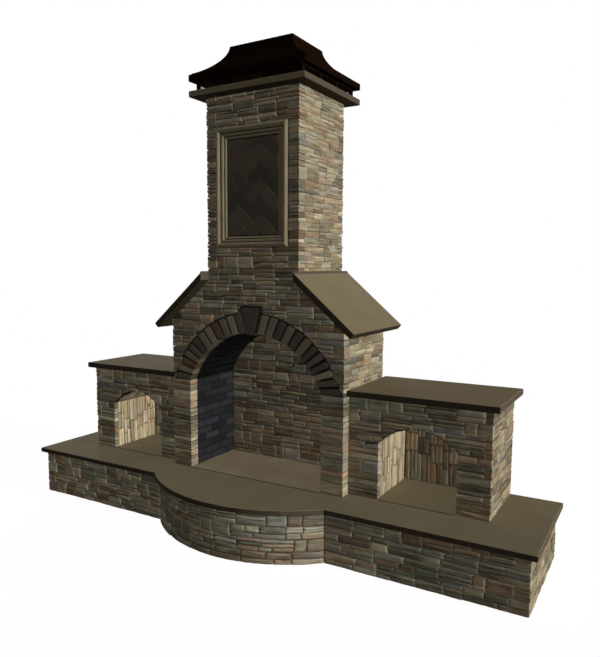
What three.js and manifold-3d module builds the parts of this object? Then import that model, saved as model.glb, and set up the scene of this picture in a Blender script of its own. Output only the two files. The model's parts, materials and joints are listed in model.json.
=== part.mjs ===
// Outdoor masonry fireplace: raised hearth with a bowed front, arched firebox between two
// wood niches, stone shoulders and a chimney under a metal hood. Millimetres, +Z up.
// Places are given from the front face of the hearth wall (y = 0) towards the back, and the
// whole is then moved so that the origin lies on the ground under its middle.

import * as THREE from 'three';
import { mergeVertices } from 'three/addons/utils/BufferGeometryUtils.js';
import Module from 'manifold-3d';

const wasm = await Module();
wasm.setup();

// Fits and easing
const jointGap = 0.3;
const cutOverrun = 40;
const arrisEase = 5;
const facetAngle = THREE.MathUtils.degToRad(4);

// Raised hearth
const hearthHalfLength = 2360;
const hearthHeight = 457;
const bayHalfWidth = 842;
const bayProjection = 357;
const slabThickness = 44;
const slabOverhang = 44;
const facingThickness = 100;

// Firebox and its arch
const bodySetback = 259;
const openingHalfWidth = 669;
const springAboveHearth = 817;
const archRise = 469;
const fireboxDepth = 671;
const fireboxBackThickness = 53;
const ringDepth = 180;
const ringMargin = 20;
const voussoirsPerSide = 12;
const crownVoussoirs = 6;
const haunchJointAngle = THREE.MathUtils.degToRad(42);
const voussoirChamfer = 4;
const keystoneFootHalfWidth = 48;
const keystoneHeadHalfWidth = 111;
const keystoneDrop = 14;
const keystoneRise = 52;
const keystoneProjection = 25;

// Courses of the stone facing, parted by raked bed joints
const coursesToSpring = 8;
const closingCourseShare = 0.25;
const bedJointHeight = 10;
const bedJointDepth = 9;

// Side boxes with their wood niches
const boxWidth = 1132;
const boxSetback = 363;
const boxHeight = 872;
const boxFacing = 58;
const nicheWidth = 616;
const nicheSpring = 466;
const nicheRise = 149;
const nicheLining = 45;
const capThickness = 52;
const capOverhang = 54;

// Shoulders
const shoulderTopAboveHearth = 1820;
const shoulderSlope = THREE.MathUtils.degToRad(41);
const shoulderThickness = 52;
const shoulderReach = 126;
const shoulderOverhang = 98;
const filletWidth = 14;
const filletHeight = 24;

// Throat, smoke chamber and flue
const throatWidth = 500;
const throatDepth = 140;
const throatSetback = 160;
const chamberShelf = 30;
const flueWidth = 410;
const linerWall = 25;
const linerProjection = 30;

// Chimney
const chimneyHalfWidth = 463;
const chimneyAboveShoulder = 1534;
const chimneyCapThickness = 54;
const chimneyCapOverhang = 104;

// Tiled panel
const panelHalfWidth = 359;
const panelHeight = 1016;
const panelBelowCap = 267;
const mouldingWidth = 104;
const mouldingProjection = 24;
const tileSetback = 28;
const tileBacking = 33;
const tileLength = 203;
const tileRelief = 4;
const groutWidth = 5;

// Hood and its screened neck
const neckHeight = 78;
const neckReach = 56;
const neckSheet = 4;
const neckRail = 13;
const neckPost = 44;
const neckWindows = 3;
const screenSheet = 3;
const screenBar = 6;
const screenPitch = 46;
const hoodReach = 104;
const hoodFascia = 54;
const hoodRise = 260;
const hoodInset = 255;
const hoodSheet = 3;
const hoodSoffit = 78;
const hoodEaveShare = 0.38;
const hoodSteps = 7;

// Levels and faces that the pieces share
const slabUnderside = hearthHeight - slabThickness;
const springHeight = hearthHeight + springAboveHearth;
const courseHeight = springAboveHearth / coursesToSpring;
const archRadius = (openingHalfWidth ** 2 + archRise ** 2) / 2 / archRise;
const archCentre = springHeight + archRise - archRadius;
const springDrop = springHeight - archCentre;
const ringRadius = archRadius + ringDepth;
const ringHalfWidth = Math.sqrt(ringRadius ** 2 - springDrop ** 2);
const bodyHalfWidth = ringHalfWidth + ringMargin;
const liningHalfWidth = bodyHalfWidth - facingThickness;
const facingBack = bodySetback + facingThickness;
const fireboxBack = bodySetback + fireboxDepth;
const liningBack = fireboxBack + fireboxBackThickness;
const backFace = liningBack + facingThickness;
const bayRadius = (bayHalfWidth ** 2 + bayProjection ** 2) / 2 / bayProjection;
const bayCentre = bayRadius - bayProjection;
const boxEnd = bodyHalfWidth + boxWidth;
const boxTop = hearthHeight + boxHeight;
const boxWallTop = boxTop - capThickness;
const shoulderTop = hearthHeight + shoulderTopAboveHearth;
const shoulderDrop = shoulderThickness / Math.cos(shoulderSlope);
const shoulderRoot = shoulderTop - filletHeight + filletWidth * Math.tan(shoulderSlope) - shoulderDrop;
const chimneyTop = shoulderTop + chimneyAboveShoulder;
const chimneyWallTop = chimneyTop - chimneyCapThickness;
const flueCentre = (bodySetback + backFace) / 2;
const flueFoot = shoulderRoot;
const linerHalfWidth = flueWidth / 2 + linerWall;
const neckTop = chimneyTop + neckHeight;
const hoodEaveTop = neckTop + hoodFascia;
const nearOutside = hearthHalfLength + cutOverrun;
const farOutside = nearOutside + cutOverrun;
const frontReach = bayProjection + slabOverhang;
const rearReach = backFace + Math.max(hoodReach, chimneyCapOverhang, shoulderOverhang, capOverhang);

const materials = {
  ledgestone: finish(0x6e6252, 0.92, 0),
  nicheStone: finish(0x7d705b, 0.92, 0),
  slabStone: finish(0x6b6049, 0.85, 0),
  archStone: finish(0x5d554a, 0.88, 0),
  keyStone: finish(0x3a332c, 0.85, 0),
  firebrick: finish(0x2b2c31, 0.95, 0),
  block: finish(0x8c8a84, 0.95, 0),
  clay: finish(0xa5674a, 0.85, 0),
  castMoulding: finish(0x7a705f, 0.8, 0),
  tile: finish(0x2c2823, 0.55, 0),
  darkMetal: finish(0x1c120c, 0.5, 0.8),
};

function finish(color, roughness, metalness) {
  return new THREE.MeshStandardMaterial({ color, roughness, metalness });
}

// Outlines

function point(x, y) {
  return new THREE.Vector2(x, y);
}

// Points on a circle, with the angle counted from straight up towards +X.
function arc(centreX, centreY, radius, from, to, steps = Math.ceil(Math.abs(to - from) / facetAngle)) {
  const points = [];
  for (let i = 0; i <= steps; i += 1) {
    const angle = from + ((to - from) * i) / steps;
    points.push(point(centreX + radius * Math.sin(angle), centreY + radius * Math.cos(angle)));
  }
  return points;
}

function mirrored(points) {
  return points.map((p) => point(-p.x, p.y)).reverse();
}

// A doorway with a segmental head: straight jambs, then an arc of the given rise.
function archedOutline(centreX, floor, halfWidth, spring, rise) {
  const radius = (halfWidth ** 2 + rise ** 2) / 2 / rise;
  const centre = spring + rise - radius;
  const half = Math.asin(halfWidth / radius);
  return [
    point(centreX - halfWidth, floor),
    ...arc(centreX, centre, radius, -half, half),
    point(centreX + halfWidth, floor),
  ];
}

// Solids

function solidOf(geometry) {
  const bare = geometry.clone();
  bare.deleteAttribute('normal');
  bare.deleteAttribute('uv');
  const merged = mergeVertices(bare);
  const vertProperties = new Float32Array(merged.attributes.position.array);
  const triVerts = new Uint32Array(merged.index.array);
  return new wasm.Manifold(new wasm.Mesh({ numProp: 3, vertProperties, triVerts }));
}

function block(x0, x1, y0, y1, z0, z1) {
  const geometry = new THREE.BoxGeometry(x1 - x0, y1 - y0, z1 - z0);
  geometry.translate((x0 + x1) / 2, (y0 + y1) / 2, (z0 + z1) / 2);
  return solidOf(geometry);
}

// An outline in X and Z, carried from front to back.
function upright(points, front, back, chamfer = 0) {
  const geometry = extruded(points, back - front, chamfer);
  geometry.rotateX(Math.PI / 2);
  geometry.translate(0, back - chamfer, 0);
  return solidOf(geometry);
}

// An outline in X and Y, carried from bottom to top, with both arrises eased if asked.
function flat(points, bottom, top, ease = 0, holes = []) {
  const geometry = extruded(points, top - bottom, ease, holes);
  geometry.translate(0, 0, bottom + ease);
  return solidOf(geometry);
}

function extruded(points, depth, chamfer, holes = []) {
  const shape = new THREE.Shape(points);
  shape.holes = holes.map((hole) => new THREE.Path(hole));
  return new THREE.ExtrudeGeometry(shape, {
    depth: depth - 2 * chamfer,
    bevelEnabled: chamfer > 0,
    bevelThickness: chamfer,
    bevelSize: chamfer,
    bevelOffset: -chamfer,
    bevelSegments: 1,
  });
}

function rectangle(x0, x1, y0, y1) {
  return [point(x0, y0), point(x1, y0), point(x1, y1), point(x0, y1)];
}

// A loft through level rectangles; each ring is { x0, x1, y0, y1, z }, lowest first.
function loft(rings) {
  const loops = rings.map((r) => rectangle(r.x0, r.x1, r.y0, r.y1));
  const corners = loops[0].length;
  const positions = loops.flatMap((loop, i) => loop.flatMap((p) => [p.x, p.y, rings[i].z]));
  const top = (loops.length - 1) * corners;
  const index = [0, 2, 1, 0, 3, 2, top, top + 1, top + 2, top, top + 2, top + 3];
  for (let foot = 0; foot < top; foot += corners) {
    for (let side = 0; side < corners; side += 1) {
      const a = foot + side;
      const b = foot + ((side + 1) % corners);
      index.push(a, b, b + corners, a, b + corners, a + corners);
    }
  }
  const geometry = new THREE.BufferGeometry();
  geometry.setAttribute('position', new THREE.Float32BufferAttribute(positions, 3));
  geometry.setIndex(index);
  return solidOf(geometry);
}

function centredRing(halfX, halfY, z) {
  return { x0: -halfX, x1: halfX, y0: flueCentre - halfY, y1: flueCentre + halfY, z };
}

function piece(name, solid, material) {
  const { vertProperties, triVerts } = solid.getMesh();
  const geometry = new THREE.BufferGeometry();
  geometry.setAttribute('position', new THREE.BufferAttribute(new Float32Array(vertProperties), 3));
  geometry.setIndex(new THREE.BufferAttribute(new Uint32Array(triVerts), 1));
  geometry.computeVertexNormals();
  const mesh = new THREE.Mesh(geometry, material);
  mesh.name = name;
  return mesh;
}

function assembly(...pieces) {
  const group = new THREE.Group();
  group.add(...pieces.flat());
  return group;
}

// Courses

function bedLevels(foot, head) {
  const levels = [];
  const last = head - courseHeight * closingCourseShare;
  for (let level = foot + courseHeight; level < last; level += courseHeight) {
    levels.push(level);
  }
  return levels;
}

// Rakes bed joints out of a facing from outside, as far in as the given plan.
function raked(solid, levels, plan) {
  const field = rectangle(-farOutside, farOutside, -farOutside, farOutside);
  const half = bedJointHeight / 2;
  return levels.reduce(
    (facing, level) => facing.subtract(flat(field, level - half, level + half, 0, [plan])),
    solid,
  );
}

// Hearth

function bayArc(radius, level) {
  const reach = Math.acos((bayCentre - level) / radius);
  return arc(0, bayCentre, radius, Math.PI + reach, Math.PI - reach);
}

function hearthFacings() {
  const innerArc = bayArc(bayRadius - facingThickness, 0);
  const bayRoot = innerArc[innerArc.length - 1].x;
  const bay = [...bayArc(bayRadius, 0), ...[...innerArc].reverse()];
  const rearFace = facingThickness;
  const beds = bedLevels(0, slabUnderside);
  const jointEnd = hearthHalfLength - bedJointDepth;
  const frontPlan = [
    point(-jointEnd, nearOutside),
    point(-jointEnd, bedJointDepth),
    ...bayArc(bayRadius - bedJointDepth, bedJointDepth),
    point(jointEnd, bedJointDepth),
    point(jointEnd, nearOutside),
  ];
  const facing = (outline) => raked(flat(outline, 0, slabUnderside), beds, frontPlan);
  const facings = [piece('hearth_stone_bay', facing(bay), materials.ledgestone)];
  for (const [side, sign] of [['left', -1], ['right', 1]]) {
    const run = rectangle(sign * bayRoot, sign * hearthHalfLength, 0, rearFace);
    facings.push(piece(`hearth_stone_${side}`, facing(run), materials.ledgestone));
  }
  const inner = hearthHalfLength - facingThickness;
  const wrap = block(-hearthHalfLength, hearthHalfLength, rearFace, backFace, 0, slabUnderside).subtract(
    block(-inner, inner, rearFace - cutOverrun, liningBack, -cutOverrun, slabUnderside + cutOverrun),
  );
  const wrapPlan = rectangle(-jointEnd, jointEnd, -nearOutside, backFace - bedJointDepth);
  facings.push(piece('hearth_stone_ends_and_back', raked(wrap, beds, wrapPlan), materials.ledgestone));
  const core = [
    point(-inner, liningBack),
    point(-inner, facingThickness),
    point(-bayRoot, facingThickness),
    ...innerArc,
    point(bayRoot, facingThickness),
    point(inner, facingThickness),
    point(inner, liningBack),
  ];
  facings.push(piece('hearth_core', flat(core, 0, slabUnderside), materials.block));
  return facings;
}

function hearthSlabs() {
  const end = hearthHalfLength + slabOverhang;
  const outline = [
    point(-end, backFace),
    point(-end, -slabOverhang),
    ...bayArc(bayRadius + slabOverhang, -slabOverhang),
    point(end, -slabOverhang),
    point(end, backFace),
  ];
  const floorHole = rectangle(-openingHalfWidth, openingHalfWidth, bodySetback, fireboxBack);
  const floor = rectangle(
    jointGap - openingHalfWidth,
    openingHalfWidth - jointGap,
    bodySetback + jointGap,
    fireboxBack - jointGap,
  );
  const slab = flat(outline, slabUnderside, hearthHeight, arrisEase).subtract(
    flat(floorHole, slabUnderside - cutOverrun, hearthHeight + cutOverrun),
  );
  return [
    piece('hearth_slab', slab, materials.slabStone),
    piece('firebox_floor', flat(floor, slabUnderside, hearthHeight), materials.slabStone),
  ];
}

// Body

// Underside of the shoulder slabs at a distance from the middle.
function gableHeight(x) {
  return shoulderRoot - (x - chimneyHalfWidth) * Math.tan(shoulderSlope) - jointGap;
}

function gableOutline(halfWidth, floor) {
  return [
    point(-halfWidth, floor),
    point(-halfWidth, gableHeight(halfWidth)),
    point(-chimneyHalfWidth, shoulderRoot),
    point(chimneyHalfWidth, shoulderRoot),
    point(halfWidth, gableHeight(halfWidth)),
    point(halfWidth, floor),
  ];
}

const keystoneFoot = archCentre + archRadius - keystoneDrop;
const keystoneHead = archCentre + ringRadius + keystoneRise;
const keystoneTaper = (keystoneHeadHalfWidth - keystoneFootHalfWidth) / (keystoneHead - keystoneFoot);

// Where the keystone's sloping side crosses a circle about the arch's centre.
function keystoneSideAngle(radius) {
  const atCentre = keystoneFootHalfWidth - keystoneTaper * (keystoneFoot - archCentre);
  return Math.atan(keystoneTaper) + Math.asin(atCentre / radius / Math.hypot(1, keystoneTaper));
}

// The joints fan out: even steps from the keystone to the haunch, where the joint is radial,
// then even steps down to the level bed on the spring line.
function jointAngles(radius) {
  const crown = keystoneSideAngle(radius);
  const spring = Math.acos(springDrop / radius);
  const angles = [];
  for (let i = 0; i <= voussoirsPerSide; i += 1) {
    const crownStep = (haunchJointAngle - crown) / crownVoussoirs;
    const haunchStep = (spring - haunchJointAngle) / (voussoirsPerSide - crownVoussoirs);
    const below = i - crownVoussoirs;
    angles.push(below < 0 ? crown + crownStep * i : haunchJointAngle + haunchStep * below);
  }
  return angles;
}

function voussoirs() {
  const inner = jointAngles(archRadius);
  const outer = jointAngles(ringRadius);
  const stones = [];
  for (let i = 0; i < voussoirsPerSide; i += 1) {
    const innerGap = jointGap / 2 / archRadius;
    const outerGap = jointGap / 2 / ringRadius;
    const outline = [
      ...arc(0, archCentre, archRadius, inner[i] + innerGap, inner[i + 1] - innerGap, 2),
      ...arc(0, archCentre, ringRadius, outer[i + 1] - outerGap, outer[i] + outerGap, 2),
    ];
    const number = String(voussoirsPerSide - i).padStart(2, '0');
    for (const [side, points] of [['left', mirrored(outline)], ['right', outline]]) {
      const solid = upright(points, bodySetback, facingBack, voussoirChamfer);
      stones.push(piece(`voussoir_${side}_${number}`, solid, materials.archStone));
    }
  }
  return stones;
}

function keystone() {
  const outline = [
    point(jointGap - keystoneFootHalfWidth, keystoneFoot),
    point(jointGap - keystoneHeadHalfWidth, keystoneHead),
    point(keystoneHeadHalfWidth - jointGap, keystoneHead),
    point(keystoneFootHalfWidth - jointGap, keystoneFoot),
  ];
  const front = bodySetback - keystoneProjection;
  return piece('keystone', upright(outline, front, facingBack, voussoirChamfer), materials.keyStone);
}

// The hole that the ring and the keystone fill in the front facing.
function ringPocket() {
  const right = [
    point(keystoneHeadHalfWidth + jointGap, keystoneHead + jointGap),
  ];
  const angles = jointAngles(ringRadius);
  for (let i = 0; i < voussoirsPerSide; i += 1) {
    const steps = arc(0, archCentre, ringRadius + jointGap, angles[i], angles[i + 1], 2);
    right.push(...(i === 0 ? steps : steps.slice(1)));
  }
  right.push(point(openingHalfWidth, springHeight), point(openingHalfWidth, hearthHeight - cutOverrun));
  return [...mirrored(right), ...right];
}

function bodyFacings() {
  const front = upright(gableOutline(bodyHalfWidth, hearthHeight), bodySetback, facingBack).subtract(
    upright(ringPocket(), bodySetback - cutOverrun, facingBack + cutOverrun),
  );
  const hollow = rectangle(-liningHalfWidth, liningHalfWidth, hearthHeight - cutOverrun, chimneyTop);
  const wrap = upright(gableOutline(bodyHalfWidth, hearthHeight), facingBack, backFace).subtract(
    upright(hollow, facingBack - cutOverrun, liningBack),
  );
  const beds = bedLevels(hearthHeight, shoulderRoot);
  const side = bodyHalfWidth - bedJointDepth;
  const back = backFace - bedJointDepth;
  const frontPlan = rectangle(-side, side, bodySetback + bedJointDepth, nearOutside);
  const hidden = beds.filter((level) => level < boxTop);
  const seen = beds.filter((level) => level > boxTop);
  const backRaked = raked(wrap, hidden, rectangle(-nearOutside, nearOutside, -nearOutside, back));
  const allRaked = raked(backRaked, seen, rectangle(-side, side, -nearOutside, back));
  return [
    piece('body_stone_front', raked(front, beds, frontPlan), materials.ledgestone),
    piece('body_stone_sides_and_back', allRaked, materials.ledgestone),
  ];
}

const vaultRadius = Math.hypot(liningHalfWidth, springDrop);
const vaultSpring = Math.atan2(liningHalfWidth, springDrop);
const openingSpring = Math.atan2(openingHalfWidth, springDrop);

function fireboxLining() {
  const pieces = [];
  for (const [side, sign] of [['left', -1], ['right', 1]]) {
    const wall = rectangle(sign * openingHalfWidth, sign * liningHalfWidth, hearthHeight, springHeight);
    pieces.push(piece(`firebrick_${side}`, upright(wall, facingBack, liningBack), materials.firebrick));
  }
  const vault = [
    ...arc(0, archCentre, vaultRadius, -vaultSpring, vaultSpring),
    ...arc(0, archCentre, archRadius, openingSpring, -openingSpring),
  ];
  const throat = block(
    -throatWidth / 2,
    throatWidth / 2,
    bodySetback + throatSetback,
    bodySetback + throatSetback + throatDepth,
    archCentre,
    shoulderTop,
  );
  pieces.push(piece('firebrick_vault', upright(vault, facingBack, liningBack).subtract(throat), materials.firebrick));
  const halfWidth = openingHalfWidth - jointGap;
  const back = archedOutline(0, hearthHeight, halfWidth, springHeight - jointGap, archRise);
  pieces.push(piece('firebox_back', upright(back, fireboxBack, liningBack), materials.ledgestone));
  return pieces;
}

function smokeChamber() {
  const foot = archCentre + vaultRadius + chamberShelf;
  const front = bodySetback + throatSetback;
  const mouth = { x0: -throatWidth / 2, x1: throatWidth / 2, y0: front, y1: front + throatDepth };
  return loft([
    { ...mouth, z: archCentre },
    { ...mouth, z: foot },
    centredRing(flueWidth / 2, flueWidth / 2, flueFoot),
    centredRing(flueWidth / 2, flueWidth / 2, flueFoot + cutOverrun),
  ]);
}

function blockCore() {
  const stackHalfWidth = chimneyHalfWidth - facingThickness;
  const right = [
    point(stackHalfWidth, chimneyWallTop),
    point(stackHalfWidth, shoulderRoot),
    point(chimneyHalfWidth, shoulderRoot),
    point(liningHalfWidth, gableHeight(liningHalfWidth)),
    point(liningHalfWidth, springHeight),
  ];
  const vaultCut = arc(0, archCentre, vaultRadius + jointGap, vaultSpring, -vaultSpring);
  const outline = [...mirrored(right), ...right, ...vaultCut.slice(1, -1)];
  const flue = loft([
    centredRing(linerHalfWidth + jointGap, linerHalfWidth + jointGap, flueFoot),
    centredRing(linerHalfWidth + jointGap, linerHalfWidth + jointGap, chimneyTop),
  ]);
  return upright(outline, facingBack, liningBack).subtract(smokeChamber()).subtract(flue);
}

function body() {
  return assembly(
    bodyFacings(),
    fireboxLining(),
    voussoirs(),
    keystone(),
    piece('block_core', blockCore(), materials.block),
  );
}

// Side boxes

function nicheOutline(sign, outset, floor) {
  const centre = sign * (bodyHalfWidth + boxWidth / 2);
  const spring = hearthHeight + nicheSpring;
  return archedOutline(centre, floor, nicheWidth / 2 + outset, spring, nicheRise + outset);
}

function sideBox(side, sign) {
  const inner = sign * bodyHalfWidth;
  const outer = sign * boxEnd;
  const coreEnd = sign * (boxEnd - boxFacing);
  const coreFront = boxSetback + boxFacing;
  const coreBack = backFace - boxFacing;
  const below = hearthHeight - cutOverrun;
  const shell = upright(rectangle(inner, outer, hearthHeight, boxWallTop), boxSetback, backFace)
    .subtract(upright(rectangle(0, coreEnd, below, boxTop), coreFront, coreBack))
    .subtract(upright(nicheOutline(sign, 0, below), boxSetback - cutOverrun, coreFront + cutOverrun));
  const facePlan = rectangle(
    -sign * nearOutside,
    outer - sign * bedJointDepth,
    boxSetback + bedJointDepth,
    backFace - bedJointDepth,
  );
  const facing = raked(shell, bedLevels(hearthHeight, boxWallTop), facePlan);
  const lining = upright(nicheOutline(sign, nicheLining, hearthHeight), coreFront, coreBack).subtract(
    upright(nicheOutline(sign, 0, below), coreFront - cutOverrun, coreBack - nicheLining),
  );
  const core = upright(rectangle(inner, coreEnd, hearthHeight, boxWallTop), coreFront, coreBack).subtract(
    upright(nicheOutline(sign, nicheLining + jointGap, below), coreFront - cutOverrun, backFace),
  );
  const capPlan = rectangle(inner, sign * (boxEnd + capOverhang), boxSetback - capOverhang, backFace + capOverhang);
  return assembly(
    piece(`${side}_box_stone`, facing, materials.ledgestone),
    piece(`${side}_box_core`, core, materials.block),
    piece(`${side}_niche_lining`, lining, materials.nicheStone),
    piece(`${side}_box_cap`, flat(capPlan, boxWallTop, boxTop, arrisEase), materials.slabStone),
  );
}

// Shoulders

function shoulder(side, sign) {
  const eave = bodyHalfWidth + shoulderReach;
  const eaveTop = shoulderRoot + shoulderDrop - (eave - chimneyHalfWidth) * Math.tan(shoulderSlope);
  const outline = [
    point(chimneyHalfWidth, shoulderRoot),
    point(chimneyHalfWidth, shoulderTop),
    point(chimneyHalfWidth + filletWidth, shoulderTop - filletHeight),
    point(eave, eaveTop),
    point(
      eave - shoulderThickness * Math.sin(shoulderSlope),
      eaveTop - shoulderThickness * Math.cos(shoulderSlope),
    ),
  ];
  const points = outline.map((p) => point(sign * p.x, p.y));
  const solid = upright(points, bodySetback - shoulderOverhang, backFace + shoulderOverhang);
  return piece(`${side}_shoulder_slab`, solid, materials.slabStone);
}

// Chimney

const panelTop = chimneyWallTop - panelBelowCap;
const panelFoot = panelTop - panelHeight;
const pocketBack = bodySetback + tileSetback + tileBacking;

function chimneyStone() {
  const inner = chimneyHalfWidth - facingThickness;
  const pocket = rectangle(
    -panelHalfWidth - jointGap,
    panelHalfWidth + jointGap,
    panelFoot - jointGap,
    panelTop + jointGap,
  );
  const walls = block(-chimneyHalfWidth, chimneyHalfWidth, bodySetback, backFace, shoulderRoot, chimneyWallTop)
    .subtract(block(-inner, inner, facingBack, liningBack, shoulderRoot - cutOverrun, chimneyTop))
    .subtract(upright(pocket, bodySetback - cutOverrun, pocketBack));
  const side = chimneyHalfWidth - bedJointDepth;
  const plan = rectangle(-side, side, bodySetback + bedJointDepth, backFace - bedJointDepth);
  return raked(walls, bedLevels(shoulderRoot, chimneyWallTop), plan);
}

// Moulding section from its outer edge: shares of the width, and of the height above the pocket.
const mouldingShares = [
  [0, 0], [0, 0.84], [0.05, 0.84], [0.08, 0.94], [0.17, 1], [0.26, 0.96], [0.31, 0.87],
  [0.4, 0.87], [0.46, 0.78], [0.6, 0.69], [0.66, 0.69], [0.66, 0.6], [0.78, 0.57], [0.84, 0.5],
  [0.84, 0.42], [1, 0.42], [1, 0],
];

// One side of the frame, mitred at both ends, along the edge from one corner to the next.
function mouldingSide(from, to) {
  const depth = pocketBack - bodySetback + mouldingProjection;
  const along = to.clone().sub(from);
  const length = along.length();
  const profile = mouldingShares.map(([u, v]) => point(u * mouldingWidth, v * depth));
  const geometry = extruded(profile, length, 0);
  const straight = new THREE.Matrix4().makeBasis(
    new THREE.Vector3(-along.y, 0, along.x).divideScalar(length),
    new THREE.Vector3(0, -1, 0),
    new THREE.Vector3(along.x, 0, along.y).divideScalar(length),
  );
  geometry.applyMatrix4(straight);
  geometry.translate(from.x, pocketBack, from.y);
  const middle = to.clone().add(from).divideScalar(2);
  const inward = point(-along.y, along.x).divideScalar(length);
  const retreat = inward.clone().multiplyScalar(-jointGap);
  const apex = middle.clone().add(inward.multiplyScalar(length / 2));
  const mitre = [from, to, apex].map((corner) => corner.clone().add(retreat));
  const wedge = upright(mitre, bodySetback - cutOverrun - mouldingProjection, pocketBack + cutOverrun);
  return solidOf(geometry).intersect(wedge);
}

function panelFrame() {
  const corners = rectangle(-panelHalfWidth, panelHalfWidth, panelFoot, panelTop);
  const names = ['foot', 'right', 'head', 'left'];
  return names.map((name, i) => {
    const side = mouldingSide(corners[i], corners[(i + 1) % corners.length]);
    return piece(`panel_frame_${name}`, side, materials.castMoulding);
  });
}

// Two-to-one tiles laid in herringbone at 45 degrees on one backing board.
function tilePanel() {
  const halfWidth = panelHalfWidth - mouldingWidth - jointGap;
  const foot = panelFoot + mouldingWidth + jointGap;
  const head = panelTop - mouldingWidth - jointGap;
  const face = bodySetback + tileSetback;
  const board = upright(rectangle(-halfWidth, halfWidth, foot, head), face + tileRelief, pocketBack);
  const field = upright(rectangle(-halfWidth, halfWidth, foot, head), face, pocketBack);
  const tileWidth = tileLength / 2;
  const reach = Math.ceil(Math.hypot(halfWidth, head - foot) / tileWidth);
  const tiles = [];
  for (let row = -reach; row <= reach; row += 1) {
    for (let step = -reach; step <= reach; step += 1) {
      const x = row * tileWidth + step * 2 * tileLength;
      const y = row * tileWidth;
      const end = x + tileLength;
      tiles.push(rectangle(x, end, y, y + tileWidth));
      tiles.push(rectangle(end, end + tileWidth, y - tileWidth, y + tileWidth));
    }
  }
  const turn = new THREE.Vector2();
  const centre = (foot + head) / 2;
  let solid = board;
  for (const tile of tiles) {
    const inset = groutWidth / 2;
    const [a, , c] = tile;
    const cut = rectangle(a.x + inset, c.x - inset, a.y + inset, c.y - inset);
    const turned = cut.map((p) => turn.copy(p).rotateAround(point(0, 0), Math.PI / 4).clone());
    const inside = turned.some((p) => Math.abs(p.x) < halfWidth + tileWidth && Math.abs(p.y) < head - centre + tileWidth);
    if (inside) {
      const placed = turned.map((p) => point(p.x, p.y + centre));
      solid = solid.add(upright(placed, face, pocketBack).intersect(field));
    }
  }
  return piece('panel_tiles', solid, materials.tile);
}

function chimneyCap() {
  const reach = chimneyHalfWidth + chimneyCapOverhang;
  const plan = rectangle(-reach, reach, bodySetback - chimneyCapOverhang, backFace + chimneyCapOverhang);
  const hole = linerHalfWidth + jointGap;
  return flat(plan, chimneyWallTop, chimneyTop, arrisEase).subtract(
    block(-hole, hole, flueCentre - hole, flueCentre + hole, chimneyWallTop - cutOverrun, chimneyTop + cutOverrun),
  );
}

function flueLiner() {
  const half = flueWidth / 2;
  const top = chimneyTop + linerProjection;
  return block(-linerHalfWidth, linerHalfWidth, flueCentre - linerHalfWidth, flueCentre + linerHalfWidth, flueFoot, top)
    .subtract(block(-half, half, flueCentre - half, flueCentre + half, flueFoot - cutOverrun, top + cutOverrun));
}

// Neck and hood

const chimneyHalfDepth = (backFace - bodySetback) / 2;

function squareTube(halfX, halfY, wall, foot, head) {
  return loft([centredRing(halfX, halfY, foot), centredRing(halfX, halfY, head)]).subtract(
    loft([
      centredRing(halfX - wall, halfY - wall, foot - cutOverrun),
      centredRing(halfX - wall, halfY - wall, head + cutOverrun),
    ]),
  );
}

// Evenly spaced openings through all four sides of a square tube.
function windows(halfX, halfY, count, bar, edge, foot, head) {
  const cuts = [];
  const widthX = (2 * (halfX - edge) - (count.x - 1) * bar) / count.x;
  const widthY = (2 * (halfY - edge) - (count.y - 1) * bar) / count.y;
  for (let i = 0; i < count.x; i += 1) {
    const start = edge - halfX + i * (widthX + bar);
    cuts.push(block(start, start + widthX, flueCentre - halfY - bar, flueCentre + halfY + bar, foot, head));
  }
  for (let i = 0; i < count.y; i += 1) {
    const start = flueCentre - halfY + edge + i * (widthY + bar);
    cuts.push(block(-halfX - bar, halfX + bar, start, start + widthY, foot, head));
  }
  return wasm.Manifold.union(cuts);
}

function neck() {
  const halfX = chimneyHalfWidth + neckReach;
  const halfY = chimneyHalfDepth + neckReach;
  const count = { x: neckWindows, y: neckWindows };
  return squareTube(halfX, halfY, neckSheet, chimneyTop, neckTop).subtract(
    windows(halfX, halfY, count, neckPost, neckPost, chimneyTop + neckRail, neckTop - neckRail),
  );
}

function sparkScreen() {
  const halfX = chimneyHalfWidth + neckReach - neckSheet - jointGap;
  const halfY = chimneyHalfDepth + neckReach - neckSheet - jointGap;
  const count = { x: Math.round((2 * halfX) / screenPitch), y: Math.round((2 * halfY) / screenPitch) };
  const foot = chimneyTop + neckRail / 2;
  return squareTube(halfX, halfY, screenSheet, chimneyTop, neckTop).subtract(
    windows(halfX, halfY, count, screenBar, neckRail, foot, neckTop - neckRail / 2),
  );
}

// Bell-cast hood: a straight eave slope blended into a quarter round below the flat top.
function hoodRings(shrink) {
  const halfX = chimneyHalfWidth + hoodReach - shrink;
  const halfY = chimneyHalfDepth + hoodReach - shrink;
  const rings = [];
  for (let i = 0; i <= hoodSteps; i += 1) {
    const angle = (i / hoodSteps) * (Math.PI / 2);
    const inset = hoodInset * Math.sin(angle);
    const climb = hoodEaveShare * Math.sin(angle) + (1 - hoodEaveShare) * (1 - Math.cos(angle));
    rings.push(centredRing(halfX - inset, halfY - inset, hoodEaveTop + hoodRise * climb - shrink));
  }
  return rings;
}

function hood() {
  const halfX = chimneyHalfWidth + hoodReach;
  const halfY = chimneyHalfDepth + hoodReach;
  const outside = loft([centredRing(halfX, halfY, neckTop), ...hoodRings(0)]);
  const inside = loft([
    centredRing(halfX - hoodSheet, halfY - hoodSheet, neckTop + hoodSheet),
    ...hoodRings(hoodSheet),
  ]);
  const mouth = loft([
    centredRing(halfX - hoodSoffit, halfY - hoodSoffit, neckTop - cutOverrun),
    centredRing(halfX - hoodSoffit, halfY - hoodSoffit, neckTop + cutOverrun),
  ]);
  return outside.subtract(inside).subtract(mouth);
}

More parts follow.
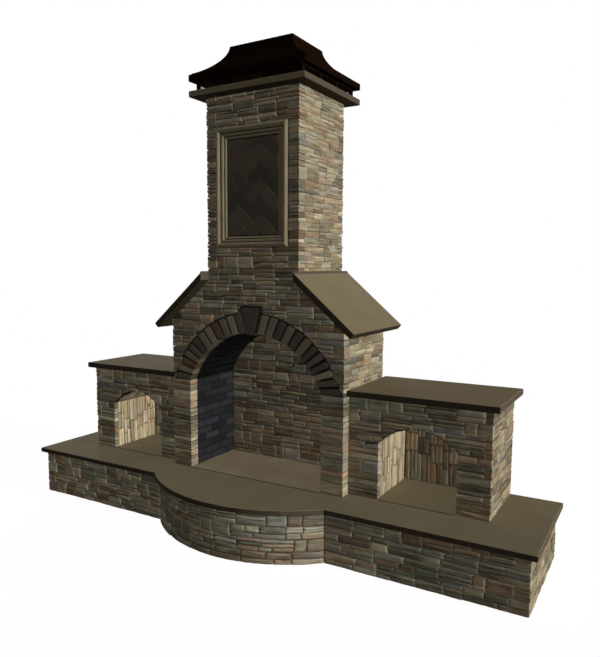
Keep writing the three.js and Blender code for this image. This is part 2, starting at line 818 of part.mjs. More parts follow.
function chimney() {
  return assembly(
    piece('chimney_stone', chimneyStone(), materials.ledgestone),
    piece('flue_liner', flueLiner(), materials.clay),
    panelFrame(),
    tilePanel(),
    piece('chimney_cap', chimneyCap(), materials.slabStone),
    piece('shroud_neck', neck(), materials.darkMetal),
    piece('spark_screen', sparkScreen(), materials.darkMetal),
    piece('shroud_hood', hood(), materials.darkMetal),
  );
}

const fireplace = assembly(
  hearthFacings(),
  hearthSlabs(),
  body(),
  sideBox('left', -1),
  sideBox('right', 1),
  shoulder('left', -1),
  shoulder('right', 1),
  chimney(),
);
fireplace.position.y = (frontReach - rearReach) / 2;

export default fireplace;
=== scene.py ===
import json
import math

import bmesh
import bpy
import numpy as np
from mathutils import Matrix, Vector


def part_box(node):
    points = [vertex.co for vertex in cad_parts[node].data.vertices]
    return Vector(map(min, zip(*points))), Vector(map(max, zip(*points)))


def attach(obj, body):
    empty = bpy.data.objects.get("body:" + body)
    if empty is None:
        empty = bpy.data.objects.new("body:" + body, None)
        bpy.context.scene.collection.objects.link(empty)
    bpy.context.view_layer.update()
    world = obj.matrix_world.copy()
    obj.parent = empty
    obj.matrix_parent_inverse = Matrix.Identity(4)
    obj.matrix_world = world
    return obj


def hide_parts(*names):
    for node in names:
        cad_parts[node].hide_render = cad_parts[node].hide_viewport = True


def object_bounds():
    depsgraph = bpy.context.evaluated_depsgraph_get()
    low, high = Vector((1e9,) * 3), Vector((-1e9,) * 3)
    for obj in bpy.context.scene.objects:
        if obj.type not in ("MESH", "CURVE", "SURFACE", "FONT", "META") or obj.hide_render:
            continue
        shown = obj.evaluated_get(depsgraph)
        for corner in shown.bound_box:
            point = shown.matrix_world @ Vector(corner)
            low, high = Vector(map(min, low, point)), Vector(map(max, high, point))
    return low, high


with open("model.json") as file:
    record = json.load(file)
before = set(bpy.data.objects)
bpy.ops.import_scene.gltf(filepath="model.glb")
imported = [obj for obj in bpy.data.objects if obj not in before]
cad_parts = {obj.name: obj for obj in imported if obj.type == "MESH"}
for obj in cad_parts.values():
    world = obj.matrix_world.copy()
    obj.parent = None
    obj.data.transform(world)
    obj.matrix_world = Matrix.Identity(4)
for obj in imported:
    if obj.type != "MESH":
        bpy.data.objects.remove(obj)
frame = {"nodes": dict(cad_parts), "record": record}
cadLow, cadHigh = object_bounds()
print("frame loaded", len(frame["nodes"]), "nodes")


# shader maths

matte = 0.02  # how little these porous surfaces mirror


def rgba(color):  # from a grey value or a hex colour
    if isinstance(color, float):
        return (color, color, color, 1.0)
    parts = [int(color[i:i + 2], 16) / 255 for i in (1, 3, 5)]
    linear = [c / 12.92 if c < 0.04045 else ((c + 0.055) / 1.055) ** 2.4 for c in parts]
    return (*linear, 1.0)


class Wire:  # one output socket that can be added, multiplied and so on
    def __init__(self, tree, socket):
        self.tree, self.socket = tree, socket

    def maths(self, operation, *values):
        return self.tree.node("Math", {"operation": operation}, values)

    def __add__(self, other):
        return self.maths("ADD", self, other)

    def __mul__(self, other):
        return self.maths("MULTIPLY", self, other)

    def __sub__(self, other):
        return self.maths("SUBTRACT", self, other)

    def __rsub__(self, other):
        return self.maths("SUBTRACT", other, self)

    __radd__, __rmul__ = __add__, __mul__

    def fract(self):
        return self.maths("FRACT", self)

    def span(self, low, high, toLow=0.0, toHigh=1.0):  # remap and clamp
        return self.tree.node("MapRange", {"clamp": True}, [self, low, high, toLow, toHigh])


class Tree:  # makes and links the nodes of one node tree
    def __init__(self, nodeTree):
        self.nodes, self.links = nodeTree.nodes, nodeTree.links

    def node(self, kind, settings, values, output=0):
        made = self.nodes.new("ShaderNode" + kind)
        for key, value in settings.items():
            setattr(made, key, value)
        for key, value in values.items() if isinstance(values, dict) else enumerate(values):
            self.feed(made.inputs[key], value)
        return Wire(self, made.outputs[output])

    def feed(self, socket, value):
        if isinstance(value, Wire):
            self.links.new(value.socket, socket)
        else:
            socket.default_value = rgba(value) if isinstance(value, str) else value

    def ramp(self, value, stops, interpolation="LINEAR"):
        made = self.node("ValToRGB", {}, [value])
        ramp = made.socket.node.color_ramp
        ramp.interpolation = interpolation
        for i, (at, color) in enumerate(stops):
            element = ramp.elements[i] if i < 2 else ramp.elements.new(at)
            element.position, element.color = at, rgba(color)
        return made


class Finish(Tree):  # a material with its node tree
    def __init__(self, name):
        self.material = bpy.data.materials.new(name)
        self.material.use_nodes = True
        super().__init__(self.material.node_tree)
        self.where = self.node("TexCoord", {}, [], "Object")

    def noise(self, scale, detail=4.0, roughness=0.55, at=None):
        return self.node("TexNoise", {}, {"Vector": at or self.where, "Scale": scale,
                                          "Detail": detail, "Roughness": roughness})

    def cells(self, scale, at=None):
        return self.node("TexVoronoi", {}, {"Vector": at or self.where, "Scale": scale})

    def stretched(self, scale):
        return self.node("Mapping", {}, {"Vector": self.where, "Scale": tuple(scale)})

    def attribute(self, name):
        return self.node("Attribute", {"attribute_name": name}, [], 2)

    def pick(self, palette, value):  # one of these colours, not blended with the next
        return self.ramp(value, [(i / len(palette), color) for i, color in enumerate(palette)], "CONSTANT")

    def between(self, dark, light, value, edge=0.3):
        return self.ramp(value, [(edge, dark), (1 - edge, light)])

    def blend(self, kind, amount, first, second):  # colours are mixed, never added by Math
        return self.node("Mix", {"data_type": "RGBA", "blend_type": kind, "clamp_factor": True},
                         {0: amount, 6: first, 7: second}, 2)

    def shaded(self, amount, color, value):
        return self.blend("MULTIPLY", amount, color, self.node("CombineColor", {}, [value] * 3))

    def end(self, color, roughness, height, strength, distance, mirror=matte):
        bump = self.node("Bump", {}, {"Strength": strength, "Distance": distance, "Height": height})
        inputs = {"Base Color": color, "Roughness": roughness, "Specular IOR Level": mirror, "Normal": bump}
        for key, value in inputs.items():
            self.feed(self.nodes["Principled BSDF"].inputs[key], value)
        return self.material


ledge = dict(
    palette=["#9e9175", "#8b836d", "#ab9f82", "#947f68", "#86897a", "#a2886a", "#7e7764",
             "#b2a88b", "#92907f", "#836d57", "#9f9781", "#85817a", "#987f68", "#76756a"],
    strata=(4.0, 4.0, 55.0), uprightStrata=(55.0, 55.0, 4.0), facets=(9.0, 9.0, 26.0), grain=110.0,
    # of the colours on the next line, the first is painted shade on the stones' rims and sides, the second a
    # painted shadow line where stones are cut, the third a painted sunlit wash, the fourth a painted
    # highlight along their top edges
    rim="#40372b", cut="#16120e", washed="#a9966f", crest="#d2ccb2", streak="#bdb8a0", rust="#8d6a48")


def ledgestone(name, strata, lift=1.0, wash=0.0, joint=0.42):  # wash mixes the stones towards a painted sunlit cream, which evens out their colours; joint is how much painted shade their rims get, lift how light the whole copy is
    mat = Finish(name)
    tone, rim, crest = map(mat.attribute, ("tone", "rim", "crest"))
    bands = mat.noise(1.0, 6.0, 0.62, mat.stretched(strata))
    patches = mat.noise(1.0, 3.0, 0.5, mat.stretched(side * 0.35 + 3.0 for side in strata))
    streaks = mat.noise(1.0, 4.0, 0.6, mat.stretched(side * 1.9 for side in strata))
    cloud = mat.noise(6.0, 3.0, 0.5)
    grain = mat.noise(ledge["grain"], 3.0, 0.6)
    chips = mat.cells(1.0, mat.stretched(ledge["facets"]))
    own = mat.pick(ledge["palette"], tone)  # a second colour of the palette comes in by patches
    other = mat.pick(ledge["palette"], (tone * 7.43 + 0.37).fract())
    color = mat.blend("MIX", patches.span(0.42, 0.6, 0.0, 0.7), own, other)
    # painted sunlight: the stones are mixed towards a washed-out cream
    color = mat.blend("MIX", wash, color, ledge["washed"])
    shade = (tone * 57.31).fract().span(0.0, 1.0, 0.58, 1.38)  # each stone has its own brightness
    shade = shade * bands.span(0.32, 0.68, 0.56, 1.42) * grain.span(0.3, 0.7, 0.86, 1.12)
    color = mat.shaded(1.0, color, shade * lift)
    # the layers: rust stains, light streaks, a painted highlight along the top edges, painted shade on the
    # rims and on the sides down in the joints, and a painted shadow line where stones are cut to an arch or
    # a slope
    layers = dict(rust=cloud.span(0.56, 0.74, 0.0, 0.4), streak=streaks.span(0.56, 0.7, 0.0, 0.5),
                  crest=crest * bands.span(0.35, 0.6, 0.3, 1.0), rim=rim.span(0.72, 1.0, 0.0, joint),
                  cut=rim.span(1.0, 1.8, 0.0, 0.85))
    for layer, amount in layers.items():
        color = mat.blend("MIX", amount, color, ledge[layer])
    height = bands * 0.5 + grain * 0.2 + chips.span(0.0, 0.8) * 0.3
    return mat.end(color, grain.span(0.2, 0.8, 0.86, 0.98), height, 0.7, 0.008)


def mortarFinish(name, dark, light):
    mat = Finish(name)
    grain = mat.noise(160.0)
    return mat.end(mat.between(dark, light, grain), 0.96, grain, 0.5, 0.002)


def slabFinish(name, dark, light):
    mat = Finish(name)
    cloud, grain, pits = mat.noise(3.0, 5.0, 0.6), mat.noise(140.0, 4.0, 0.65), mat.cells(55.0)
    color = mat.between(dark, light, cloud * 0.6 + grain * 0.4)
    color = mat.shaded(0.6, color, pits.span(0.05, 0.16, 0.82, 1.0))
    height = grain * 0.6 + pits.span(0.0, 0.2) * 0.4
    return mat.end(color, grain.span(0.2, 0.8, 0.78, 0.92), height, 0.35, 0.0015)


def plainFinish(name, dark, light, scale, roughness, bumpSize=0.001, mirror=matte):
    mat = Finish(name)
    cloud, grain = mat.noise(scale, 5.0, 0.6), mat.noise(scale * 22, 3.0, 0.6)
    color = mat.between(dark, light, cloud * 0.65 + grain * 0.35)
    rough = cloud.span(0.3, 0.7, roughness - 0.08, roughness + 0.08)
    return mat.end(color, rough, grain, 0.3, bumpSize, mirror)


# tone picks the piece's own colour, edge says how dark the painted shade on its rims and sides is
def tonedFinish(name, palette, roughness, soot=0.0, bumpSize=0.003, edge=0.6):
    mat = Finish(name)
    cloud, grain = mat.noise(14.0, 4.0, 0.6), mat.noise(120.0, 4.0, 0.65)
    shade = mat.between(0.75, 1.2, cloud * 0.6 + grain * 0.4, 0.25)
    color = mat.blend("MULTIPLY", 0.8, mat.pick(palette, mat.attribute("tone")), shade)
    if soot:
        black = mat.noise(2.2, 4.0, 0.6).span(0.35, 0.7, soot * 0.6, soot)
        color = mat.blend("MIX", black, color, "#08080a")
    # painted shade on the rims and on the sides down in the joints
    color = mat.blend("MIX", mat.attribute("rim").span(0.4, 1.0, 0.0, edge), color, "#14110e")
    rough = grain.span(0.2, 0.8, roughness - 0.06, roughness + 0.06)
    return mat.end(color, rough, grain * 0.5 + cloud * 0.5, 0.4, bumpSize)


# how light or dark each arch stone is, from the springing up
ringTones = dict(
    left=[2, 3, 4, 1, 2, 7, 0, 3, 4, 0, 5, 6], right=[7, 2, 5, 7, 6, 7, 1, 7, 0, 7, 0, 3], key=7,
    palette=["#807969", "#85765f", "#69614f", "#928870", "#6e5d4b", "#9b8f78", "#6d6460", "#5d544d"])
brickTones = ["#323236", "#3a3a3e", "#2c2c30", "#404045", "#36363a"]
tileTones = ["#5b5246", "#534a41", "#61584c", "#4d453c", "#5c5549"]
finishes = dict(
    ledge=ledgestone("ledgestone", ledge["strata"], 1.08),
    # the niche jambs' copy, painted much lighter as if sunlit and mixed towards the sunlit cream
    upright=ledgestone("ledgestone_upright", ledge["uprightStrata"], 1.55, 0.3, 0.2),
    # copies for the ends of parts, painted as if sunlit: mixed towards cream with fainter rim shade, the low
    # parts' copy dimmer
    washed=ledgestone("ledgestone_ends", ledge["strata"], 0.95, 0.22, 0.12),
    weathered=ledgestone("ledgestone_low_ends", ledge["strata"], 0.83, 0.3, 0.12),
    # the niche back's and vault's copy, painted darker as shade
    shaded=ledgestone("ledgestone_niche_back", ledge["uprightStrata"], 0.98),
    mortar=mortarFinish("mortar", "#4a4133", "#675b48"),
    soot=mortarFinish("sooted_mortar", "#212124", "#2e2e31"),
    slab=slabFinish("slab_stone", "#736750", "#7e725a"),
    # the hearth slab's top, painted lighter than the other slabs to make up for the shade of the walls
    # behind it
    ledgeTop=slabFinish("hearth_slab_stone", "#7b7159", "#887d64"),
    # edge copies of the slab stone: the next one for edges turning away from the sun, painted part way into
    # shade, then the sunward edges' own colour, then the soffit copy, painted darker as shade for the other
    # edges and the undersides
    verge=slabFinish("slab_edge_turning", "#433a30", "#53493d"),
    arris=slabFinish("slab_edge", "#51473a", "#62574a"),
    soffit=slabFinish("slab_soffit", "#372f26", "#453c31"),
    # the firebox floor, painted lighter than the hearth slab to make up for the shade inside the firebox
    sill=slabFinish("sill_stone", "#8a7c62", "#a1937a"),
    block=plainFinish("concrete_block", "#77756f", "#8e8b84", 4.0, 0.92),
    clay=plainFinish("flue_clay", "#8c5338", "#a86a4a", 5.0, 0.85),
    moulding=plainFinish("cast_stone", "#82775f", "#9a8e72", 6.0, 0.8),
    bronze=plainFinish("dark_bronze", "#120b06", "#1e130b", 3.0, 0.8, 0.0004, 0.0),
    brick=tonedFinish("firebrick", brickTones, 0.9, 0.35, edge=0.4),
    vault=tonedFinish("sooted_brick", ["#1a1a1c", "#202022", "#161618"], 0.95, 0.6),
    tile=tonedFinish("panel_tile", tileTones, 0.55, bumpSize=0.0006),
    grout=plainFinish("tile_grout", "#26211c", "#302a24", 9.0, 0.9),
    # the sealant's own dark colour, also used as painted shade in the moulding's quirks
    joint=plainFinish("slab_sealant", "#1c1712", "#272019", 9.0, 0.9),
    arch=tonedFinish("arch_stone", ringTones["palette"], 0.88, edge=0.95),
)
print("finishes made")


# meshes and objects

def placed(name, data):
    made = bpy.data.objects.new(name, data)
    bpy.context.scene.collection.objects.link(made)
    return made


def finished(name, mesh, finishNames, sharpAngle):
    for finish in finishNames:
        mesh.materials.append(finishes[finish])
    mesh.set_sharp_from_angle(angle=math.radians(sharpAngle))
    return placed(name, mesh)


def smoothed(mesh, smooth=True):
    mesh.polygons.foreach_set("use_smooth", [smooth] * len(mesh.polygons))


square = [(-1, -1), (1, -1), (1, 1), (-1, 1)]


def bands(count, size, closed=False):  # faces between rings of points, with the two ends unless closed
    pairs = [(i * size, (i + 1) % count * size) for i in range(count if closed else count - 1)]
    faces = [[a + k, a + (k + 1) % size, b + (k + 1) % size, b + k] for a, b in pairs for k in range(size)]
    return faces if closed else faces + [list(range(size)), list(range((count - 1) * size, count * size))]


def cleaned(mesh, weld=False):  # with its faces turned outwards
    work = bmesh.new()
    work.from_mesh(mesh)
    if weld:
        bmesh.ops.remove_doubles(work, verts=work.verts, dist=0.0002)
        bmesh.ops.dissolve_degenerate(work, edges=work.edges, dist=0.0001)
    bmesh.ops.recalc_face_normals(work, faces=work.faces)
    work.to_mesh(mesh)
    work.free()


def settle(piece, node):
    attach(piece, "root")
    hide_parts(node)


def cadMesh(node, inset=0.0, dissolve=False):  # a welded copy of a node's own mesh
    work = bmesh.new()
    work.from_mesh(frame["nodes"][node].data)
    bmesh.ops.remove_doubles(work, verts=work.verts, dist=0.00002)
    work.normal_update()
    if dissolve or inset:
        bmesh.ops.dissolve_limit(work, angle_limit=math.radians(0.5), verts=work.verts, edges=work.edges)
    bmesh.ops.recalc_face_normals(work, faces=work.faces)
    if inset:
        work.normal_update()
        moves = [(v, v.normal * v.calc_shell_factor() * inset) for v in work.verts]
        for v, move in moves:
            v.co -= move
    return work


bed = dict(height=0.010, slack=0.0006)  # raked joints of the solids


def bedLevels(node):  # heights of the raked joints in a node
    work = cadMesh(node)
    found = set()
    for face in work.faces:
        heights = [v.co.z for v in face.verts]
        low, high = min(heights), max(heights)
        upright = abs(face.normal.z) < 0.1
        if upright and bed["height"] - bed["slack"] < high - low < bed["height"] + bed["slack"]:
            found.add(round((high + low) / 2, 4))
    work.free()
    return sorted(found)


# stones as real geometry

def softNoise(seed):  # smooth random value from -1 to 1 at any point
    size = 24
    table = np.random.default_rng(seed).uniform(-1, 1, (size, size, size))

    def sample(x, y, z):
        cells, parts = [], []
        for value in (x, y, z):
            floor = np.floor(value)
            part = value - floor
            cells.append(floor.astype(int))
            parts.append(part * part * (3 - 2 * part))
        total = 0
        for corner in range(8):
            weight, index = 1.0, []
            for axis in range(3):
                up = corner >> axis & 1
                index.append((cells[axis] + up) % size)
                weight = weight * (parts[axis] if up else 1 - parts[axis])
            total = total + weight * table[tuple(index)]
        return total
    return sample


bumpy = softNoise(11)


class Heap:  # many closed stones in one mesh
    def __init__(self):
        self.points, self.faces, self.tones, self.slots = [], [], [], []
        self.rims, self.crests = [], []
        self.count = 0

    def add(self, points, faces, tone=0.0, rim=None, crest=None, slot=0):
        self.points.append(points)
        for kept, values in ((self.rims, rim), (self.crests, crest)):
            kept.append(np.zeros(len(points)) if values is None else values)
        self.faces += [[self.count + i for i in face] for face in faces]
        self.tones += [tone] * len(faces)
        self.slots += [slot] * len(faces)
        self.count += len(points)

    def mesh(self, name, *finishNames):
        mesh = bpy.data.meshes.new(name)
        mesh.from_pydata(np.concatenate(self.points).tolist(), [], self.faces)
        mesh.attributes.new("tone", "FLOAT", "FACE").data.foreach_set("value", self.tones)
        for layer, values in (("rim", self.rims), ("crest", self.crests)):
            mesh.attributes.new(layer, "FLOAT", "POINT").data.foreach_set("value", np.concatenate(values))
        mesh.polygons.foreach_set("material_index", self.slots)
        mesh.polygons.foreach_set("use_smooth", [slot != 1 for slot in self.slots])
        cleaned(mesh, weld=True)
        return finished(name, mesh, finishNames, 42)


# sizes of the relief that all stones share: across and up are the least and most faces of one stone,
# calm is how near a stop the courses keep still, gone the share of a stone that may be cut away
relief = dict(fine=(0.021, 0.013), crease=(1.4, 1.5), wobble=0.035, chip=(0.05, 0.03, 0.04),
              across=(3, 26), up=(3, 14), sway=0.17, calm=0.06, gone=0.85)


class Wall:  # where stones are laid: place(u, v, out) gives points in space, out is never above zero
    def __init__(self, place, uStops=(), vStops=(), trim=None, sway=0.006):
        self.place, self.trim, self.sway = place, trim, sway
        self.uStops, self.vStops = uStops, vStops

    def still(self, value, stops):  # 0 at a stop, 1 away from it
        near = np.ones_like(value)
        for stop in stops:
            near = np.minimum(near, np.clip(np.abs(value - stop) / relief["calm"], 0, 1))
        return near * near * (3 - 2 * near)

    def drift(self, u, v):  # courses wander a little, the same on both sides of a joint
        x, y, z = (self.place(u, v, np.zeros_like(u)) / relief["sway"]).T
        du = self.sway * bumpy(x * 1.7 + 5, y * 1.7, z * 1.7) * self.still(u, self.uStops)
        dv = self.sway * bumpy(x, y + 9, z) * self.still(v, self.vStops)
        return u + du, v + dv


# one stone: exposed letters name the ends (L, R, B) that are seen back to the quoin's depth
def addStone(heap, wall, rect, style, rng, tone=None, exposed="", slot=0):
    u0, u1, v0, v1 = rect
    gap = style["joint"] / 2
    u0 += rng.uniform(0, style["ragged"]) if "L" in exposed else gap
    u1 -= rng.uniform(0, style["ragged"]) if "R" in exposed else gap
    v0 += 0 if "B" in exposed else gap
    v1 -= gap
    width, height = u1 - u0, v1 - v0
    across = int(np.clip(round(width / style["cell"]), *relief["across"]))
    up = int(np.clip(round(height / style["cell"]), *relief["up"]))
    edge = min(style["round"], width / 5, height / 5)
    s, t = np.linspace(0, 1, across + 1), np.linspace(0, 1, up + 1)
    u = u0 + edge + s * (width - 2 * edge)
    v = v0 + edge + t * (height - 2 * edge)
    u, v = np.meshgrid(u, v, indexing="ij")
    lift = rng.uniform(style["deepest"], style["proudest"])
    shift = rng.uniform(0, 20, 3)
    tilt = rng.uniform(-1, 1, 2) * style["tilt"]
    gaps = dict(L=u - u0, R=u1 - u, B=v - v0, T=v1 - v)
    fromEdge = np.min([gap for letter, gap in gaps.items() if letter not in exposed], 0) - edge
    drop = 1 - np.clip(fromEdge / style["shoulder"], 0, 1) ** 0.5
    along, over = style["lump"]
    lump = bumpy(u / along + shift[0], v / over + shift[1], shift[2])
    fine = bumpy(u / relief["fine"][0] + shift[1], v / relief["fine"][1] + shift[2], shift[0])
    along, over = along * relief["crease"][0], over * relief["crease"][1]
    crease = np.abs(bumpy(u / along + shift[2], v / over + shift[0], shift[1]))
    out = lift - drop * style["drop"] + style["rough"] * (0.7 * lump + 0.3 * fine - 1.1 * crease + 0.3)
    out = out + tilt[0] * (2 * s[:, None] - 1) + tilt[1] * (2 * t[None, :] - 1)
    out = np.minimum(out, -0.0004)
    # a painted highlight along the top edge of each stone, strongest where the face swells
    crest = np.clip(1 - (v1 - v) / style["worn"], 0, 1) * np.clip(0.45 + 0.9 * lump, 0, 1)
    crest = crest * rng.uniform(0.2, 1)
    loop = [(i, 0) for i in range(across)] + [(across, j) for j in range(up)]
    loop += [(i, up) for i in range(across, 0, -1)] + [(0, j) for j in range(up, 0, -1)]
    size = len(loop)
    li, lj = np.array(loop).T
    ids = np.arange((across + 1) * (up + 1)).reshape(across + 1, up + 1)
    sideU = (li == across).astype(float) - (li == 0)
    sideV = (lj == up).astype(float) - (lj == 0)
    ringU = np.clip(u[li, lj] + sideU * edge, u0, u1)
    ringV = np.clip(v[li, lj] + sideV * edge, v0, v1)
    bends = bumpy(ringU / relief["wobble"] + shift[2], ringV / relief["wobble"], shift[0] + 3)
    nudge = style["wobble"] * (1 + bends)
    ringU, ringV = ringU - sideU * nudge, ringV - sideV * nudge
    u[li, lj] -= sideU * nudge
    v[li, lj] -= sideV * nudge
    depths = [out[li, lj] - edge]
    back = -style["quoin" if exposed else "back"]
    shown = np.zeros(size)
    if exposed:
        sides = dict(L=sideU < 0, R=sideU > 0, B=sideV < 0)
        for letter in exposed:
            shown = np.maximum(shown, sides[letter].astype(float))
        steps = max(2, round((style["quoin"] - 0.01) / (style["cell"] * 1.3)))
        depths += [depths[0] + (back - depths[0]) * k / steps for k in range(1, steps)]
    depths.append(np.full(size, back))
    allU, allV, allOut = [u.ravel()], [v.ravel()], [out.ravel()]
    chipU, chipV, chipOut = relief["chip"]
    for k, depth in enumerate(depths):
        rugged = 1 + bumpy(ringU / chipU + k, ringV / chipV + shift[0], depth / chipOut + 7)
        chip = shown * style["rough"] * 0.6 * rugged
        allU.append(ringU - sideU * chip)
        allV.append(ringV - sideV * chip)
        allOut.append(depth)
    allU, allV, allOut = map(np.concatenate, (allU, allV, allOut))
    allU, allV = wall.drift(allU, allV)
    if wall.trim:
        before = np.stack([allU, allV])
        allU, allV = wall.trim(allU, allV)
        moved = np.abs(np.stack([allU, allV]) - before).sum(0) > 1e-6
        if moved[:ids.size].mean() > relief["gone"]:  # next to nothing of the stone is left
            return
    corners = ids[:-1, :-1], ids[1:, :-1], ids[1:, 1:], ids[:-1, 1:]
    faces = np.stack([corner.ravel() for corner in corners], 1).tolist()
    ring = ids[li, lj]
    for k in range(len(depths)):
        below = ids.size + k * size + np.arange(size)
        faces += np.stack([ring, below, np.roll(below, -1), np.roll(ring, -1)], 1).tolist()
        ring = below
    faces.append(ring.tolist())
    endLight = 1 - style.get("soiled", 0.0)  # how light an exposed end stays; the rest of its light is painted shade
    sunk = [1 - shown * endLight] * (len(depths) - 1) + [np.ones(size)]
    # painted shade: the rounded rims of each face and the sides sunk in the joints are darkened in the
    # finish
    rim = np.concatenate([drop.ravel()] + sunk)
    crest = np.concatenate([crest.ravel(), np.zeros(len(depths) * size)])
    if wall.trim:  # a painted shadow line where stones are cut to an arch or a slope
        rim, crest = np.where(moved, 2.0, rim), np.where(moved, 0.0, crest)
    tone = rng.random() if tone is None else tone
    heap.add(wall.place(allU, allV, allOut), faces, tone, rim, crest, slot)


def plane(origin, along, upward, outward):
    o, a, w, n = (np.array(x, float) for x in (origin, along, upward, outward))

    def place(u, v, out):
        return o + np.outer(u, a) + np.outer(v, w) + np.outer(out, n)
    return place


def facing(nx, ny, at, uStops=(), vStops=(), trim=None, sway=0.006):  # an upright wall
    place = plane((abs(nx) * at, abs(ny) * at, 0), (-ny, nx, 0), (0, 0, 1), (nx, ny, 0))
    return Wall(place, uStops, vStops, trim, sway)


def vaulted(centre, hub, radius):  # under a vault, u along the arc and v towards the back
    def place(u, v, out):
        angle, reach = u / radius, radius - out
        return np.stack([centre + reach * np.sin(angle), v, hub + reach * np.cos(angle)], 1)
    return place


def roundWall(centreY, radius):  # bowed wall about an upright axis, u runs along its face
    def place(u, v, out):
        angle, reach = u / radius, radius + out
        return np.stack([reach * np.sin(angle), centreY - reach * np.cos(angle), v], 1)
    return place


ledgeStyle = dict(
    joint=0.0016, cell=0.019, round=0.003, deepest=-0.0065, proudest=-0.0005, tilt=0.0014, ragged=0.002,
    shoulder=0.011, drop=0.0022, lump=(0.085, 0.03), rough=0.0036, wobble=0.0011, worn=0.016,
    back=0.045, quoin=0.1, panel=(0.2, 0.5), rows=[0.13, 0.5, 0.37], thinnest=0.03,
    tallest=0.125, longest=0.28, block=0.2)
endStyle = dict(
    ledgeStyle, joint=0.0005, round=0.0014, deepest=-0.004, drop=0.001, wobble=0.0004, rough=0.003)
courseHeight, shortestRun = 0.104, 0.03


def courseLevels(stops, average, rng):
    levels = [stops[0]]
    for low, high in zip(stops, stops[1:]):
        number = max(1, round((high - low) / average))
        weights = rng.uniform(0.8, 1.2, number)
        levels += (low + (high - low) * np.cumsum(weights) / weights.sum()).tolist()
    return levels


def splitRun(low, high, shortest, longest, rng):
    cuts = [low]
    while high - cuts[-1] > longest:
        cuts.append(cuts[-1] + rng.uniform(shortest, min(longest, high - cuts[-1] - shortest)))
    return [*cuts, high]


# spans(v0, v1) for a wall: some stretches in the courses between two heights, others elsewhere
def spansBetween(low, high, inside, elsewhere):
    return lambda v0, v1: inside if low < (v0 + v1) / 2 < high else elsewhere


